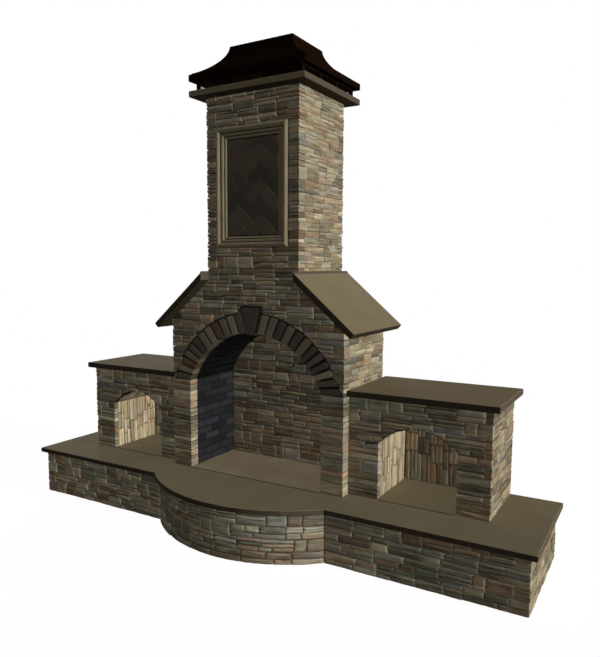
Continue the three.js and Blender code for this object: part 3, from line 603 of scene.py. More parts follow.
class Mason:  # lays the walls of one part and keeps its random draws, stops and course heights
    def __init__(self, seed, *stops):
        self.rng, self.stops, self.heap = np.random.default_rng(seed), sorted(stops), Heap()
        self.levels = courseLevels(self.stops, courseHeight, self.rng) if stops else []

    # fills one course with stones: single tall ones, pairs and threes of thin ones
    def layCourse(self, wall, low, high, v0, v1, style, ends, slot):
        rng = self.rng
        if high - low < shortestRun:
            return
        cuts = splitRun(low, high, *style["panel"], rng)
        for i, (a, b) in enumerate(zip(cuts, cuts[1:])):
            rows = rng.choice([1, 2, 3], p=style["rows"])
            if (v1 - v0) / rows < style["thinnest"]:
                rows = max(1, rows - 1)
            rows = max(rows, math.ceil((v1 - v0) / style["tallest"]))
            weights = rng.uniform(0.7, 1.3, rows)
            heights = v0 + (v1 - v0) * np.concatenate([[0], np.cumsum(weights) / weights.sum()])
            longest = style["longest"] if rows > 1 else style["block"]
            for p, q in zip(heights, heights[1:]):
                parts = splitRun(a, b, longest * 0.4, longest, rng)
                for j, (e, f) in enumerate(zip(parts, parts[1:])):
                    exposed = "L" if "L" in ends and i == j == 0 else ""
                    if "R" in ends and i == len(cuts) - 2 and j == len(parts) - 2:
                        exposed += "R"
                    addStone(self.heap, wall, (e, f, p, q), style, rng, None, exposed, slot)

    # spans, or spans(v0, v1), lists the stretches to fill: at an end marked L or R the wall meets
    # another one and turns the corner in alternate courses, at l or r it ends in a reveal
    def lay(self, wall, spans, style=ledgeStyle, odd=0, slot=0, levels=None):
        levels = levels or self.levels
        for k, (v0, v1) in enumerate(zip(levels, levels[1:])):
            for low, high, ends in spans(v0, v1) if callable(spans) else spans:
                if (k + odd) % 2:
                    low += style["quoin"] if "L" in ends else 0
                    high -= style["quoin"] if "R" in ends else 0
                    ends = ends.replace("L", "").replace("R", "")
                self.layCourse(wall, low, high, v0, v1, style, ends.upper(), slot)

    # a front with an opening up to the spring line: marks are the ends of what stands to the left
    # of it, to the right of it and above
    def layFront(self, y, low, high, sides, spring, marks, trim, style, lowStyle):
        spans = spansBetween(0, spring, [(low, sides[0], marks[0]), (sides[1], high, marks[1])],
                             [(low, high, marks[2])])
        for k in range(len(self.levels) - 1):
            pair = self.levels[k:k + 2]
            beside = sum(pair) / 2 < spring
            wall = facing(0, -1, y, [low, high] + (sides if beside else []), self.stops, trim)
            self.lay(wall, spans, lowStyle if beside else style, k, 0, pair)

    # the end of a part, from front to back and above the foot, in the third finish, which is painted as if
    # sunlit
    def layEnd(self, x, sign, front, back, style=endStyle, trim=None, foot=0.0):
        low, high = sorted((sign * front, sign * back))
        wall = facing(sign, 0, sign * x, (low, high), self.stops, trim)
        self.lay(wall, spansBetween(0, foot, [], [(low, high, "LR")]), style, 1, 2)

    def layRear(self, y, low, high, ends="LR", style=ledgeStyle, trim=None, foot=0.0):
        wall = facing(0, 1, y, (low, high), self.stops, trim)
        self.lay(wall, spansBetween(0, foot, [(low, high, "")], [(low, high, ends)]), style)

    def layAround(self, half, front, endTrim=None, rearTrim=None, foot=0.0):  # both ends and the rear
        for sign in (1, -1):
            self.layEnd(half, sign, front, backY, endStyle, endTrim, foot)
        self.layRear(backY, -half, half, trim=rearTrim, foot=foot)

    # rows of bricks in running bond, hole(v, w) gives the stretch that a row leaves free
    def layBricks(self, wall, edges, start, end, hole=None):
        for k, (v, w) in enumerate(zip(edges, edges[1:])):
            free = hole and hole(v, w)
            u = start - (brick["long"] / 2 if k % 2 else 0)
            while u < end - brick["shortest"] / 2:
                a, b = max(u, start), min(u + brick["long"], end)
                for p, q in [(a, min(b, free[0])), (max(a, free[1]), b)] if free else [(a, b)]:
                    if q - p > brick["shortest"]:
                        addStone(self.heap, wall, (p, q, v, w), brickStyle, self.rng)
                u += brick["long"]

    # what was laid stands in for a node, over the node's own shape set back as a bed of mortar
    def done(self, name, node, finish="ledge", slotName="ledgestone", inset=0.010, joints="mortar",
             third="washed"):
        work = cadMesh(node, inset)
        bmesh.ops.triangulate(work, faces=work.faces)
        work.verts.index_update()
        points = np.array([v.co[:] for v in work.verts])
        self.heap.add(points, [[v.index for v in face.verts] for face in work.faces], slot=1)
        work.free()
        settle(self.heap.mesh(name, finish, joints, third), node)
        self.heap = Heap()


hearthHalf, backY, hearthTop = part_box("hearth_stone_ends_and_back")[1]
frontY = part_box("hearth_stone_left")[0].y
bodyLow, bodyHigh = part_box("body_stone_front")
chimLow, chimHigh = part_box("chimney_stone")
keyLow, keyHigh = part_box("keystone")
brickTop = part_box("firebrick_left")[1]
openHalf, springZ = abs(brickTop.x), brickTop.z
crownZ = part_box("firebox_back")[1].z + 0.0003  # the back ends just under the vault
archRadius = (openHalf ** 2 + (crownZ - springZ) ** 2) / 2 / (crownZ - springZ)
archZ = crownZ - archRadius
ringRadius = math.hypot(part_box("voussoir_left_01")[0].x, springZ - archZ)
slopeRate = math.tan(math.radians(41))  # of the shoulder slabs
trimGap = 0.002  # between a cut stone and what it is cut to
keyBand = 0.03  # stones that reach this near to the key's top are cut over it, not beside it
clearance = 0.001  # between stones and a vault or a frame
bayLap = 0.006  # how far the bay's stones reach past its corners


def outsideArch(centre, half, spring, centreZ, radius):  # pushes points out of an arched opening
    def trim(u, v):
        u, v = u.copy(), v.copy()
        side = np.where(u >= centre, 1.0, -1.0)
        low = (v < spring) & (np.abs(u - centre) < half)
        u[low] = centre + side[low] * half
        reach = np.hypot(u - centre, v - centreZ)
        high = (v >= spring) & (reach < radius)
        grow = radius / np.maximum(reach[high], 1e-6)
        u[high] = centre + (u[high] - centre) * grow
        v[high] = centreZ + (v[high] - centreZ) * grow
        return u, v
    return trim


def hearthWalls():
    mason = Mason(21, 0.0, *bedLevels("hearth_stone_left"), hearthTop)
    bayLow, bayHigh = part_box("hearth_stone_bay")
    half, chord, bow = hearthHalf, bayHigh.x, frontY - bayLow.y
    radius = (chord ** 2 + bow ** 2) / 2 / bow
    for side, span in (("left", (-half, -chord, "L")), ("right", (chord, half, "R"))):
        mason.lay(facing(0, -1, frontY, span[:2], mason.stops), [span])
        mason.done("hearth_front_" + side, "hearth_stone_" + side)
    reach = radius * math.asin(chord / radius) + bayLap
    bay = Wall(roundWall(bayLow.y + radius, radius), [-reach, reach], mason.stops)
    mason.lay(bay, [(-reach, reach, "")])
    mason.done("hearth_bay", "hearth_stone_bay")
    mason.layAround(half, frontY)
    mason.done("hearth_ends_back", "hearth_stone_ends_and_back", third="weathered")


def gable(x):  # height of the shoulder slab's underside above a place
    return np.minimum(bodyHigh.z, bodyHigh.z - (np.abs(x) - chimHigh.x) * slopeRate)


def bodyWalls():
    mason = Mason(34, bodyLow.z, *bedLevels("body_stone_front"), bodyHigh.z)
    half, front = bodyHigh.x, bodyLow.y
    ring = outsideArch(0.0, openHalf, springZ, archZ, ringRadius + trimGap)
    keySide, keyTop = keyHigh.x + trimGap, keyHigh.z + trimGap

    def frontTrim(u, v):
        u, v = ring(u, v)
        v = np.minimum(v, gable(u) - trimGap)
        byKey = (np.abs(u) < keySide) & (v < keyTop) & (v > archZ)
        overhead = byKey & (v > keyHigh.z - keyBand)
        v[overhead] = keyTop
        beside = byKey & ~overhead
        u[beside] = np.sign(u[beside]) * keySide
        return u, v
    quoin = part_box("right_box_stone")[0].y - front  # the piers' own stones reach back to the boxes
    pierStyle = dict(ledgeStyle, panel=(0.15, 0.26), longest=0.26, block=0.24, quoin=quoin)
    mason.layFront(front, -half, half, [-openHalf, openHalf], springZ, ("lr", "lr", "LR"), frontTrim,
                   ledgeStyle, pierStyle)
    mason.done("body_front", "body_stone_front")

    def sideTrim(u, v):
        return u, np.minimum(v, gable(np.full_like(v, half)) - 2 * trimGap)

    def rearTrim(u, v):
        return u, np.minimum(v, gable(u) - trimGap)
    mason.layAround(half, front, sideTrim, rearTrim, springZ)
    mason.done("body_sides_back", "body_stone_sides_and_back")


def chimneyWalls():
    frameLow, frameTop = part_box("panel_frame_foot")[0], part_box("panel_frame_head")[1].z
    mason = Mason(55, chimLow.z, frameLow.z, frameTop, *bedLevels("chimney_stone"), chimHigh.z)
    half, side = chimHigh.x, -frameLow.x + clearance
    wall = facing(0, -1, chimLow.y, [-half, -side, side, half], mason.stops)
    mason.lay(wall, spansBetween(frameLow.z, frameTop, [(-half, -side, "L"), (side, half, "R")],
                                 [(-half, half, "LR")]))
    mason.layAround(half, chimLow.y)
    mason.done("chimney_walls", "chimney_stone")


niche = dict(lining=0.045, rise=0.149, reveal=0.05, stone=0.1, vaultRow=0.11)
boxStyle = dict(ledgeStyle, quoin=0.056, panel=(0.16, 0.5), longest=0.3)
nicheStyle = dict(ledgeStyle, back=0.03, panel=(0.14, 0.3), longest=0.26, block=0.22)


def boxWalls(side, sign):
    low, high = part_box(side + "_box_stone")
    liningLow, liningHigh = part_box(side + "_niche_lining")
    nicheHalf = (liningHigh.x - liningLow.x) / 2 - niche["lining"]
    centre = (liningHigh.x + liningLow.x) / 2
    jambs = [centre - nicheHalf, centre + nicheHalf]
    crown = liningHigh.z - niche["lining"]
    radius = (nicheHalf ** 2 + niche["rise"] ** 2) / 2 / niche["rise"]
    spring, hub = crown - niche["rise"], crown - radius
    mason = Mason(70 + sign, low.z, spring, *bedLevels(side + "_box_stone"), high.z)
    right = sign > 0
    mason.layFront(low.y, low.x, high.x, jambs, spring, ("r", "lR", "R") if right else ("Lr", "l", "L"),
                   outsideArch(centre, nicheHalf, spring, hub, radius), boxStyle, boxStyle)
    mason.layEnd(high.x if right else -low.x, sign, low.y, high.y, dict(endStyle, quoin=boxStyle["quoin"]))
    mason.layRear(high.y, -high.x, -low.x, "L" if right else "R", boxStyle)
    mason.done(side + "_box_walls", side + "_box_stone", third="weathered")

    # niche lining, stones on end
    front, back = low.y + niche["reveal"], liningHigh.y - niche["lining"]
    for x, turn in zip(jambs, (-1, 1)):
        ends = sorted((turn * front, turn * back))
        uprights = courseLevels(ends, niche["stone"], mason.rng)
        jamb = Wall(plane((x, 0, 0), (0, 0, 1), (0, turn, 0), (-turn, 0, 0)), [low.z, spring], ends)
        mason.lay(jamb, [(low.z, spring, "")], nicheStyle, levels=uprights)

    def inside(u, v):
        bow = np.sqrt(np.maximum(radius ** 2 - (v - centre) ** 2, 0))
        return np.minimum(u, hub + bow - clearance), v
    wall = Wall(plane((0, back, 0), (0, 0, 1), (1, 0, 0), (0, -1, 0)), [low.z], jambs, inside)
    uprights = courseLevels(jambs, niche["stone"], mason.rng)
    mason.lay(wall, [(low.z, crown, "")], nicheStyle, 0, 2, uprights)
    half = radius * math.asin(nicheHalf / radius)
    rowsIn = courseLevels([front, back], niche["vaultRow"], mason.rng)
    mason.lay(Wall(vaulted(centre, hub, radius)), [(-half, half, "")], nicheStyle, 0, 2, rowsIn)
    # the jambs get the lining copy painted lighter as if sunlit, the back and the vault, laid in the third
    # slot, the copy painted darker as shade
    mason.done(side + "_niche", side + "_niche_lining", "upright", "niche_stone", third="shaded")


brickStyle = dict(
    joint=0.004, cell=0.03, round=0.003, deepest=-0.003, proudest=-0.0008, tilt=0.0005, ragged=0.001,
    shoulder=0.008, drop=0.001, lump=(0.06, 0.04), rough=0.001, wobble=0.0006, worn=0.006,
    back=0.03, quoin=0.03)
brick = dict(long=0.229, high=0.0681, shortest=0.02, besideThroat=0.02, beyondThroat=0.01,
             bed=("firebrick", 0.006, "soot"))  # slot, how far the joints are set back, their finish


def brickLining():
    mason = Mason(90)
    for side, sign in (("left", -1), ("right", 1)):
        low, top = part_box("firebrick_" + side)
        rows = round((top.z - low.z) / brick["high"])
        edges = [low.z + (top.z - low.z) * k / rows for k in range(rows + 1)]
        wall = facing(-sign, 0, sign * openHalf, sway=0.0)
        mason.layBricks(wall, edges, *sorted((-sign * low.y, -sign * top.y)))
        mason.done("firebrick_wall_" + side, "firebrick_" + side, "brick", *brick["bed"])
    low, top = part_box("firebrick_vault")
    spread = math.asin(openHalf / archRadius)
    number = 2 * round(spread * archRadius / brick["high"]) + 1
    edges = [archRadius * spread * (2 * k / number - 1) for k in range(number + 1)]
    throat = [o for o in frame["record"]["physics"]["openings"] if o["name"] == "throat"][0]["box_m"]

    def place(u, v, out):  # here the rows run towards the back
        return vaulted(0.0, archZ, archRadius)(v, u, out)

    def hole(v, w):
        if abs(archRadius * math.sin((v + w) / 2 / archRadius)) < throat[1][0] + brick["besideThroat"]:
            return throat[0][1] - brick["beyondThroat"], throat[1][1] + brick["beyondThroat"]
    mason.layBricks(Wall(place, sway=0.0), edges, low.y, top.y, hole)
    mason.done("firebrick_barrel", "firebrick_vault", "vault", *brick["bed"])


def fireboxBack():
    low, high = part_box("firebox_back")
    mason = Mason(97, low.z, high.z)
    half = openHalf - clearance

    def inside(u, v):
        u = np.clip(u, -half, half)
        return u, np.minimum(v, archZ + np.sqrt(archRadius ** 2 - u ** 2) - clearance)
    wall = facing(0, -1, low.y, [-half, half], [low.z], inside)
    mason.lay(wall, [(-half, half, "")], dict(ledgeStyle, back=0.03))
    mason.done("firebox_back_stone", "firebox_back")


# the arch stones' exposed undersides keep only part of their light, the rest painted shade
ringStyle = dict(
    joint=0.004, cell=0.016, round=0.0032, deepest=-0.0025, proudest=-0.0008, tilt=0.0008, ragged=0.0,
    shoulder=0.01, drop=0.002, lump=(0.06, 0.06), rough=0.0016, wobble=0.001, worn=0.01,
    back=0.098, quoin=0.098, soiled=0.7)
keyStyle = dict(ringStyle, back=0.12, quoin=0.12, rough=0.0008)
keyHalf = dict(foot=0.048, head=0.111, laid=0.08, gap=0.0003)  # half widths of the key
haunch, perPart = math.radians(42), 6  # where the ring's joint angles change, stones on each side of it


def archRing():
    rng = np.random.default_rng(101)
    tall = keyHigh.z - keyLow.z
    taper = (keyHalf["head"] - keyHalf["foot"]) / tall

    def angles(radius):  # from the key to a radial joint at the haunch, then to the springing
        start = keyHalf["foot"] - taper * (keyLow.z - archZ)
        crown = math.atan(taper) + math.asin(start / radius / math.hypot(1, taper))
        foot = math.acos((springZ - archZ) / radius)
        upper = [crown + (haunch - crown) * i / perPart for i in range(perPart + 1)]
        return upper + [haunch + (foot - haunch) * i / perPart for i in range(1, perPart + 1)]

    def cut(node, rect, place, tone, style):
        heap = Heap()
        tone = (tone + 0.5) / len(ringTones["palette"])
        addStone(heap, Wall(place, sway=0.0), rect, style, rng, tone, "B")
        settle(heap.mesh(node + "_stone", "arch"), node)

    inner, outer = angles(archRadius), angles(ringRadius)
    depth = ringRadius - archRadius
    for side, sign in (("left", -1), ("right", 1)):
        for i in range(2 * perPart):
            width = (ringRadius + archRadius) / 2 * (inner[i + 1] - inner[i] + outer[i + 1] - outer[i]) / 2

            def place(u, v, out):
                s, t = u / width, v / depth
                low = inner[i] + (inner[i + 1] - inner[i]) * s
                high = outer[i] + (outer[i + 1] - outer[i]) * s
                x = (1 - t) * archRadius * np.sin(low) + t * ringRadius * np.sin(high)
                z = (1 - t) * archRadius * np.cos(low) + t * ringRadius * np.cos(high)
                return np.stack([sign * x, bodyLow.y - out, archZ + z], 1)
            number = 2 * perPart - i
            cut("voussoir_%s_%02d" % (side, number), (0, width, 0, depth), place,
                ringTones[side][number - 1], ringStyle)

    def place(u, v, out):
        half = keyHalf["foot"] + (keyHalf["head"] - keyHalf["foot"]) * v / tall - keyHalf["gap"]
        return np.stack([half * u / keyHalf["laid"], keyLow.y - out, keyLow.z + v], 1)
    rect = (-keyHalf["laid"], keyHalf["laid"], 0, tall)
    cut("keystone", rect, place, ringTones["key"], keyStyle)


hearthWalls()
bodyWalls()
chimneyWalls()
boxWalls("left", -1)
boxWalls("right", 1)
print("stone walls laid")
brickLining()
fireboxBack()
archRing()
print("firebox and arch laid")


# carried-over pieces with softened edges

def slabFaces(n):  # 0 for the top, 1 for the edges facing the sun, 2 for the other edges and the undersides, painted darker as shade, 3 for those between, painted part way
    if n.z > 0.7:
        return 0
    if n.z > -0.3 and n.x > 0.22:
        return 1 if n.x > 0.5 else 3
    return 2


# the cap: its underside painted darker as shade, its sunward edge in the edge colour, the other sides like
# its top
def capFaces(n):
    return 2 if n.z < -0.7 else 1 if n.x > 0.5 else 0


def softened(node, finishNames, width, segments=2, pick=slabFaces):
    work = cadMesh(node, 0.0, True)
    if width:
        edges = [e for e in work.edges if e.is_manifold and e.calc_face_angle(0) > math.radians(25)]
        bmesh.ops.bevel(work, geom=edges, offset=width, segments=segments, profile=0.5,
                        affect="EDGES", clamp_overlap=True)
    mesh = bpy.data.meshes.new(node + "_soft")
    work.to_mesh(mesh)
    work.free()
    mesh.polygons.foreach_set("material_index", [pick(p.normal) for p in mesh.polygons])
    smoothed(mesh)
    settle(finished(node + "_soft", mesh, finishNames, 8), node)


# the slabs' edges: sunward ones in their own colour, the others painted darker as shade, those between part
# way
slabEdges = ["arris", "soffit", "verge"]
softened("hearth_slab", ["ledgeTop", *slabEdges], 0.002)
softened("left_box_cap", ["slab", *slabEdges], 0.002)
softened("right_box_cap", ["slab", *slabEdges], 0.002)
softened("firebox_floor", ["sill", *slabEdges], 0.002)
softened("chimney_cap", ["slab", *slabEdges], 0.002, 2, capFaces)
softened("left_shoulder_slab", ["slab", *slabEdges], 0.004, 3)
softened("right_shoulder_slab", ["slab", *slabEdges], 0.004, 3)
softened("shroud_neck", ["bronze"], 0.0, 2, lambda n: 0)

sealant = dict(width=0.012, rise=0.0012)


def slabJoints():  # a bead of sealant on the slab where each opening begins
    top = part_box("hearth_slab")[1].z
    runs = [(-openHalf, openHalf, bodyLow.y)]
    for side in ("left", "right"):
        low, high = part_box(side + "_niche_lining")
        edge = niche["lining"]
        runs.append((low.x + edge, high.x - edge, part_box(side + "_box_stone")[0].y))
    heap = Heap()
    turns = np.linspace(0, math.pi, 7)
    for start, end, y in runs:
        across = y + sealant["width"] * (0.5 - 0.5 * np.cos(turns))
        up = top + sealant["rise"] * np.sin(turns)
        points = [(x, a, b) for x in (start, end) for a, b in zip(across, up)]
        heap.add(np.array(points), bands(2, len(turns)))
    made = heap.mesh("slab_joints", "joint")
    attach(made, "root")


def shell(name, points, faces, finishNames, sharpAngle):
    mesh = bpy.data.meshes.new(name)
    mesh.from_pydata([tuple(p) for p in points], [], faces)
    cleaned(mesh)
    smoothed(mesh)
    return finished(name, mesh, finishNames, sharpAngle)


def bend(fromPoint, toPoint, bulge, steps):  # points of a curve that swells to one side
    (a, b), (c, d) = fromPoint, toPoint
    x, y = -(d - b) * bulge, (c - a) * bulge
    return [(a + (c - a) * t + x * math.sin(math.pi * t), b + (d - b) * t + y * math.sin(math.pi * t))
            for t in (i / steps for i in range(1, steps + 1))]


# grooves lists the shares of the width, from the outer edge, that are painted dark as shade
moulding = dict(width=0.104, mitre=0.0004,
                grooves=((-0.01, 0.01), (0.434, 0.496), (0.699, 0.756), (0.934, 1.01)))


# section of the frame: first number runs inwards from the outer edge, second one forwards
def mouldingSection(d):
    w = moulding["width"]
    path = [(0, 0), (0, 0.74 * d)]
    path += bend(path[-1], (0.435 * w, 0.76 * d), 0.45, 18)
    path += [(0.44 * w, 0.58 * d), (0.49 * w, 0.58 * d), (0.495 * w, 0.7 * d)]
    path += bend(path[-1], (0.7 * w, 0.54 * d), 0.2, 10)
    path += [(0.705 * w, 0.4 * d), (0.75 * w, 0.4 * d), (0.755 * w, 0.53 * d)]
    path += bend(path[-1], (0.935 * w, 0.39 * d), 0.14, 10)
    return path + [(0.94 * w, 0.3 * d), (w, 0.3 * d), (w, 0)]


def panelFrame():
    parts = ("foot", "right", "head", "left")
    boxes = [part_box("panel_frame_" + part) for part in parts]
    low = Vector([min(box[0][i] for box in boxes) for i in range(3)])
    high = Vector([max(box[1][i] for box in boxes) for i in range(3)])
    middle, half = (low + high) / 2, (high - low) / 2
    section = mouldingSection(high.y - low.y)
    size = len(section)
    for part, *ends in zip(parts, square, square[1:] + square[:1]):
        along = Vector((ends[1][0] - ends[0][0], 0, ends[1][1] - ends[0][1])).normalized()
        points = []
        for (sx, sz), gap in zip(ends, (moulding["mitre"], -moulding["mitre"])):
            points += [Vector((middle.x + sx * (half.x - inwards), high.y - forwards,
                               middle.z + sz * (half.z - inwards))) + along * gap
                       for inwards, forwards in section]
        made = shell("moulding_" + part, points, bands(2, size), ["moulding", "joint"], 28)
        for k, polygon in enumerate(made.data.polygons[:size]):  # the quirks and the frame's outer and inner edges are painted dark, as shade
            spots = [section[k][0] / moulding["width"], section[(k + 1) % size][0] / moulding["width"]]
            if any(start <= min(spots) and max(spots) <= end for start, end in moulding["grooves"]):
                polygon.material_index = 1
        settle(made, "panel_frame_" + part)


tiling = dict(long=0.203, grout=0.004, relief=0.004, arris=0.0006, reach=9, smallest=0.0004,
              sunk=0.0006, tilt=0.0025)


def clipped(shape, half):  # cuts a flat outline to an upright rectangle about its middle
    for axis, sign in ((0, 1), (0, -1), (1, 1), (1, -1)):
        kept = []
        for a, b in zip(shape, shape[1:] + shape[:1]):
            da, db = sign * a[axis] + half[axis], sign * b[axis] + half[axis]
            if da >= 0:
                kept.append(a)
            if (da < 0) != (db < 0):
                t = da / (da - db)
                kept.append((a[0] + (b[0] - a[0]) * t, a[1] + (b[1] - a[1]) * t))
        shape = kept
    return shape


def shrunk(shape, inset):  # moves each side of a convex outline inwards
    lines = []
    for a, b in zip(shape, shape[1:] + shape[:1]):
        length = math.hypot(b[0] - a[0], b[1] - a[1])
        if length > 1e-6:
            n = (-(b[1] - a[1]) / length, (b[0] - a[0]) / length)
            lines.append((n, n[0] * a[0] + n[1] * a[1] + inset))
    corners = []
    for (n, c), (m, e) in zip(lines[-1:] + lines[:-1], lines):
        cross = n[0] * m[1] - n[1] * m[0]
        if abs(cross) > 1e-6:
            corners.append(((c * m[1] - e * n[1]) / cross, (n[0] * e - m[0] * c) / cross))
    return corners


def area(shape):
    return sum(a[0] * b[1] - b[0] * a[1] for a, b in zip(shape, shape[1:] + shape[:1])) / 2


def tilePanel():
    rng = np.random.default_rng(120)
    low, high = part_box("panel_tiles")
    middle, half = (low + high) / 2, (high - low) / 2
    grout, arris, face = tiling["grout"] / 2, tiling["arris"], low.y + tiling["relief"]
    long, wide, turn = tiling["long"], tiling["long"] / 2, math.sqrt(0.5)
    spots = []  # herringbone: pairs of tiles at right angles, in rows that step sideways
    for row in range(-2 * tiling["reach"], 2 * tiling["reach"]):
        for step in range(-tiling["reach"], tiling["reach"]):
            x, y = row * wide + step * 2 * long, row * wide
            spots += [(x, y, x + long, y + wide), (x + long, y - wide, x + long + wide, y + wide)]
    heap = Heap()
    for a, b, c, d in spots:
        flat = [((u - v) * turn, (u + v) * turn) for u, v in ((a, b), (c, b), (c, d), (a, d))]
        shape = clipped(flat, (half.x, half.z))
        if area(shape) < tiling["smallest"]:
            continue
        foot, top = shrunk(shape, grout), shrunk(shape, grout + arris)
        if len(foot) < 3 or len(foot) != len(top) or area(top) < tiling["smallest"] / 2:
            continue
        sunk = rng.uniform(0, tiling["sunk"])
        tilt = rng.uniform(-tiling["tilt"], tiling["tilt"], 2)
        points = []
        for ring, depth in ((foot, face + 0.001), (foot, low.y + sunk + arris * 0.6), (top, low.y + sunk)):
            for u, v in ring:
                lean = (u - shape[0][0]) * tilt[0] + (v - shape[0][1]) * tilt[1]
                points.append((middle.x + u, max(low.y, depth + lean), middle.z + v))
        heap.add(np.array(points), bands(3, len(foot)), rng.random())
    back = [(middle.x + sx * half.x, y, middle.z + sz * half.z)
            for y in (face, high.y) for sx, sz in square]
    heap.add(np.array(back), bands(2, 4), slot=1)
    made = heap.mesh("herringbone_tiles", "tile", "grout")
    smoothed(made.data, False)
    settle(made, "panel_tiles")


def tube(points, radius, sides=10, closed=False):  # a round rod along a path
    points = [Vector(p) for p in points]
    size = len(points)
    skin = []
    for i, here in enumerate(points):
        ahead = points[(i + 1) % size] if closed or i + 1 < size else here
        behind = points[i - 1] if closed or i else here
        run = (ahead - behind).normalized()
        side = run.cross(Vector((0, 0, 1)))
        side = side.normalized() if side.length > 1e-4 else Vector((1, 0, 0))
        rise = side.cross(run).normalized()
        skin += [here + radius * (math.cos(t) * side + math.sin(t) * rise)
                 for t in (k / sides * math.tau for k in range(sides))]
    return skin, bands(size, sides, closed)


def joined(*parts):
    points, faces = [], []
    for more, shapes in parts:
        faces += [[len(points) + i for i in shape] for shape in shapes]
        points += more
    return points, faces


hood = dict(inset=0.255, eaveShare=0.38, fascia=0.054, soffit=0.078, sheet=0.003, steps=26, seam=0.006,
            hem=0.005, bead=0.006)


def chimneyHood():
    low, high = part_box("shroud_hood")
    middle, half = (low + high) / 2, (high - low) / 2
    eave = low.z + hood["fascia"]
    rise = high.z - eave

    def ring(inset, z):
        return [Vector((middle.x + sx * (half.x - inset), middle.y + sy * (half.y - inset), z))
                for sx, sy in square]

    def skin(shrink):
        rings = []
        for i in range(hood["steps"] + 1):
            angle = i / hood["steps"] * math.pi / 2
            climb = hood["eaveShare"] * math.sin(angle) + (1 - hood["eaveShare"]) * (1 - math.cos(angle))
            rings.append(ring(hood["inset"] * math.sin(angle) + shrink, eave + rise * climb - shrink))
        return rings

    sheet, soffit, hem, bead = (hood[key] for key in ("sheet", "soffit", "hem", "bead"))
    outer = skin(0.0)
    brim = [ring(sheet, low.z + sheet), ring(soffit, low.z + sheet), ring(soffit, low.z), ring(0.0, low.z)]
    rings = skin(sheet)[::-1] + brim + outer
    body = [p for one in rings for p in one], bands(len(rings), 4)
    seams = []
    for k in range(4):  # rolled seams down the hips
        path = [one[k] + (Vector((middle.x, middle.y, one[k].z)) - one[k]).normalized() * hood["seam"] * 0.6
                for one in outer[1:-1]]
        seams.append(tube(path, hood["seam"]))
    rods = [tube(ring(hem, low.z + hem), hem, closed=True),
            tube(ring(hood["inset"] + bead, high.z - bead), bead, closed=True)]
    made = shell("hood_sheet", *joined(body, *seams, *rods), ["bronze"], 30)
    settle(made, "shroud_hood")


weave = dict(wire=0.0013, pitch=0.0125, apart=2.6)  # cross wires lie behind the upright ones


def sparkMesh():  # woven wire behind the windows of the neck
    low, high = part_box("spark_screen")
    wire, pitch = weave["wire"], weave["pitch"]
    parts = []
    for axis, across in ((0, 1), (1, 0)):
        for side, sign in ((low, 1), (high, -1)):
            def spot(along, inwards, z):
                point = Vector((0, 0, z))
                point[axis], point[across] = along, side[across] + sign * inwards
                return point
            start, end = low[axis] + wire, high[axis] - wire
            number = round((end - start) / pitch)
            for i in range(number + 1):
                along = start + (end - start) * i / number
                parts.append(tube([spot(along, wire, low.z), spot(along, wire, high.z)], wire, 6))
            levels = round((high.z - low.z) / pitch)
            for i in range(1, levels):
                z = low.z + (high.z - low.z) * i / levels
                parts.append(tube([spot(x, weave["apart"] * wire, z) for x in (start, end)], wire, 6))
    settle(shell("spark_mesh", *joined(*parts), ["bronze"], 35), "spark_screen")


slabJoints()
panelFrame()
tilePanel()
chimneyHood()
sparkMesh()
for node, finish in (("hearth_core", "block"), ("block_core", "block"), ("left_box_core", "block"),
                     ("right_box_core", "block"), ("flue_liner", "clay")):
    data = frame["nodes"][node].data
    data.materials.clear()
    data.materials.append(finishes[finish])
print("slabs, panel and hood made")


# floor, light and camera

studio = dict(
    seenBy=("Is Camera Ray", "Is Glossy Ray", "Is Transmission Ray"), reach=60.0,
    below=0.0005, lift=0.905, ground=0.22, sky=0.022,
    lamps=[
        dict(name="key_sun", energy=0.5, fromSide=(0.95, -0.03, 0.34), softness=14.0, shadow=True),
        dict(name="fill_sun", energy=2.7, fromSide=(0.95, 0.09, 0.34), softness=30.0, shadow=False),
        dict(name="front_sun", energy=0.32, fromSide=(0.1, -0.94, 0.3), softness=30.0, shadow=False),
        dict(name="rear_sun", energy=1.5, fromSide=(-0.66, 0.72, 0.04), softness=30.0, shadow=True)])


def directRays(tree):  # 1 where the floor or the sky is seen, 0 where it only lights the piece
    rays = [tree.node("LightPath", {}, [], kind) for kind in studio["seenBy"]]
    seen = rays[0]
    for ray in rays[1:]:
        seen = seen.maths("MAXIMUM", seen, ray)
    return seen


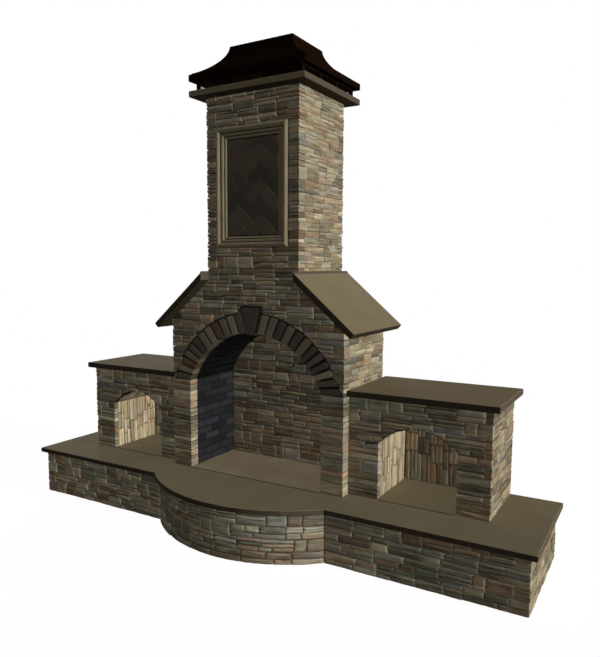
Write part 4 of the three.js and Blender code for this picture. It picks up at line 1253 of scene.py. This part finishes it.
def groundFinish():
    mat = Finish("studio_floor")
    glow = mat.node("Emission", {}, {"Color": rgba(1.0), "Strength": studio["lift"]})
    dull = mat.node("BsdfDiffuse", {}, {"Color": rgba(studio["ground"])})
    both = mat.node("AddShader", {}, [glow, dull])
    mixed = mat.node("MixShader", {}, [directRays(mat), dull, both])
    mat.feed(mat.nodes["Material Output"].inputs["Surface"], mixed)
    return mat.material


def studioSet():
    mesh = bpy.data.meshes.new("studio_ground")
    reach = studio["reach"]
    mesh.from_pydata([(x * reach, y * reach, 0) for x, y in square], [], [(0, 1, 2, 3)])
    mesh.materials.append(groundFinish())
    ground = placed("studio_ground", mesh)
    ground.location.z = cadLow.z - studio["below"]
    world = bpy.data.worlds.new("studio_world")
    bpy.context.scene.world = world
    world.use_nodes = True
    tree = Tree(world.node_tree)
    sky = tree.nodes["Background"]
    tree.feed(sky.inputs["Color"], rgba(1.0))
    tree.feed(sky.inputs["Strength"], directRays(tree).span(0.0, 1.0, studio["sky"], 1.0))
    for lamp in studio["lamps"]:
        data = bpy.data.lights.new(lamp["name"], "SUN")
        data.energy, data.angle = lamp["energy"], math.radians(lamp["softness"])
        data.use_shadow = lamp["shadow"]
        sun = placed(lamp["name"], data)
        sun.rotation_euler = Vector(lamp["fromSide"]).to_track_quat("Z", "Y").to_euler()


shot = dict(place=(3.0376, -4.7304, 2.3025), yaw=0.5557, pitch=-0.1011, focal=645.77,
            centre=(269.4, 333.4), size=(600, 657))


def setCamera():
    data = bpy.data.cameras.new("camera")
    camera = placed("camera", data)
    wide, tall = shot["size"]
    data.sensor_width = 36.0
    data.lens = shot["focal"] / tall * data.sensor_width
    data.shift_x = (wide / 2 - shot["centre"][0]) / tall
    data.shift_y = (shot["centre"][1] - tall / 2) / tall
    yaw, pitch = shot["yaw"], shot["pitch"]
    look = Vector((-math.sin(yaw) * math.cos(pitch), math.cos(yaw) * math.cos(pitch), math.sin(pitch)))
    camera.location = shot["place"]
    camera.rotation_euler = look.to_track_quat("-Z", "Y").to_euler()
    data.clip_start, data.clip_end = 0.05, 200.0
    bpy.context.scene.camera = camera


studioSet()
setCamera()
bpy.context.scene.view_settings.view_transform = "Standard"
print("studio set")
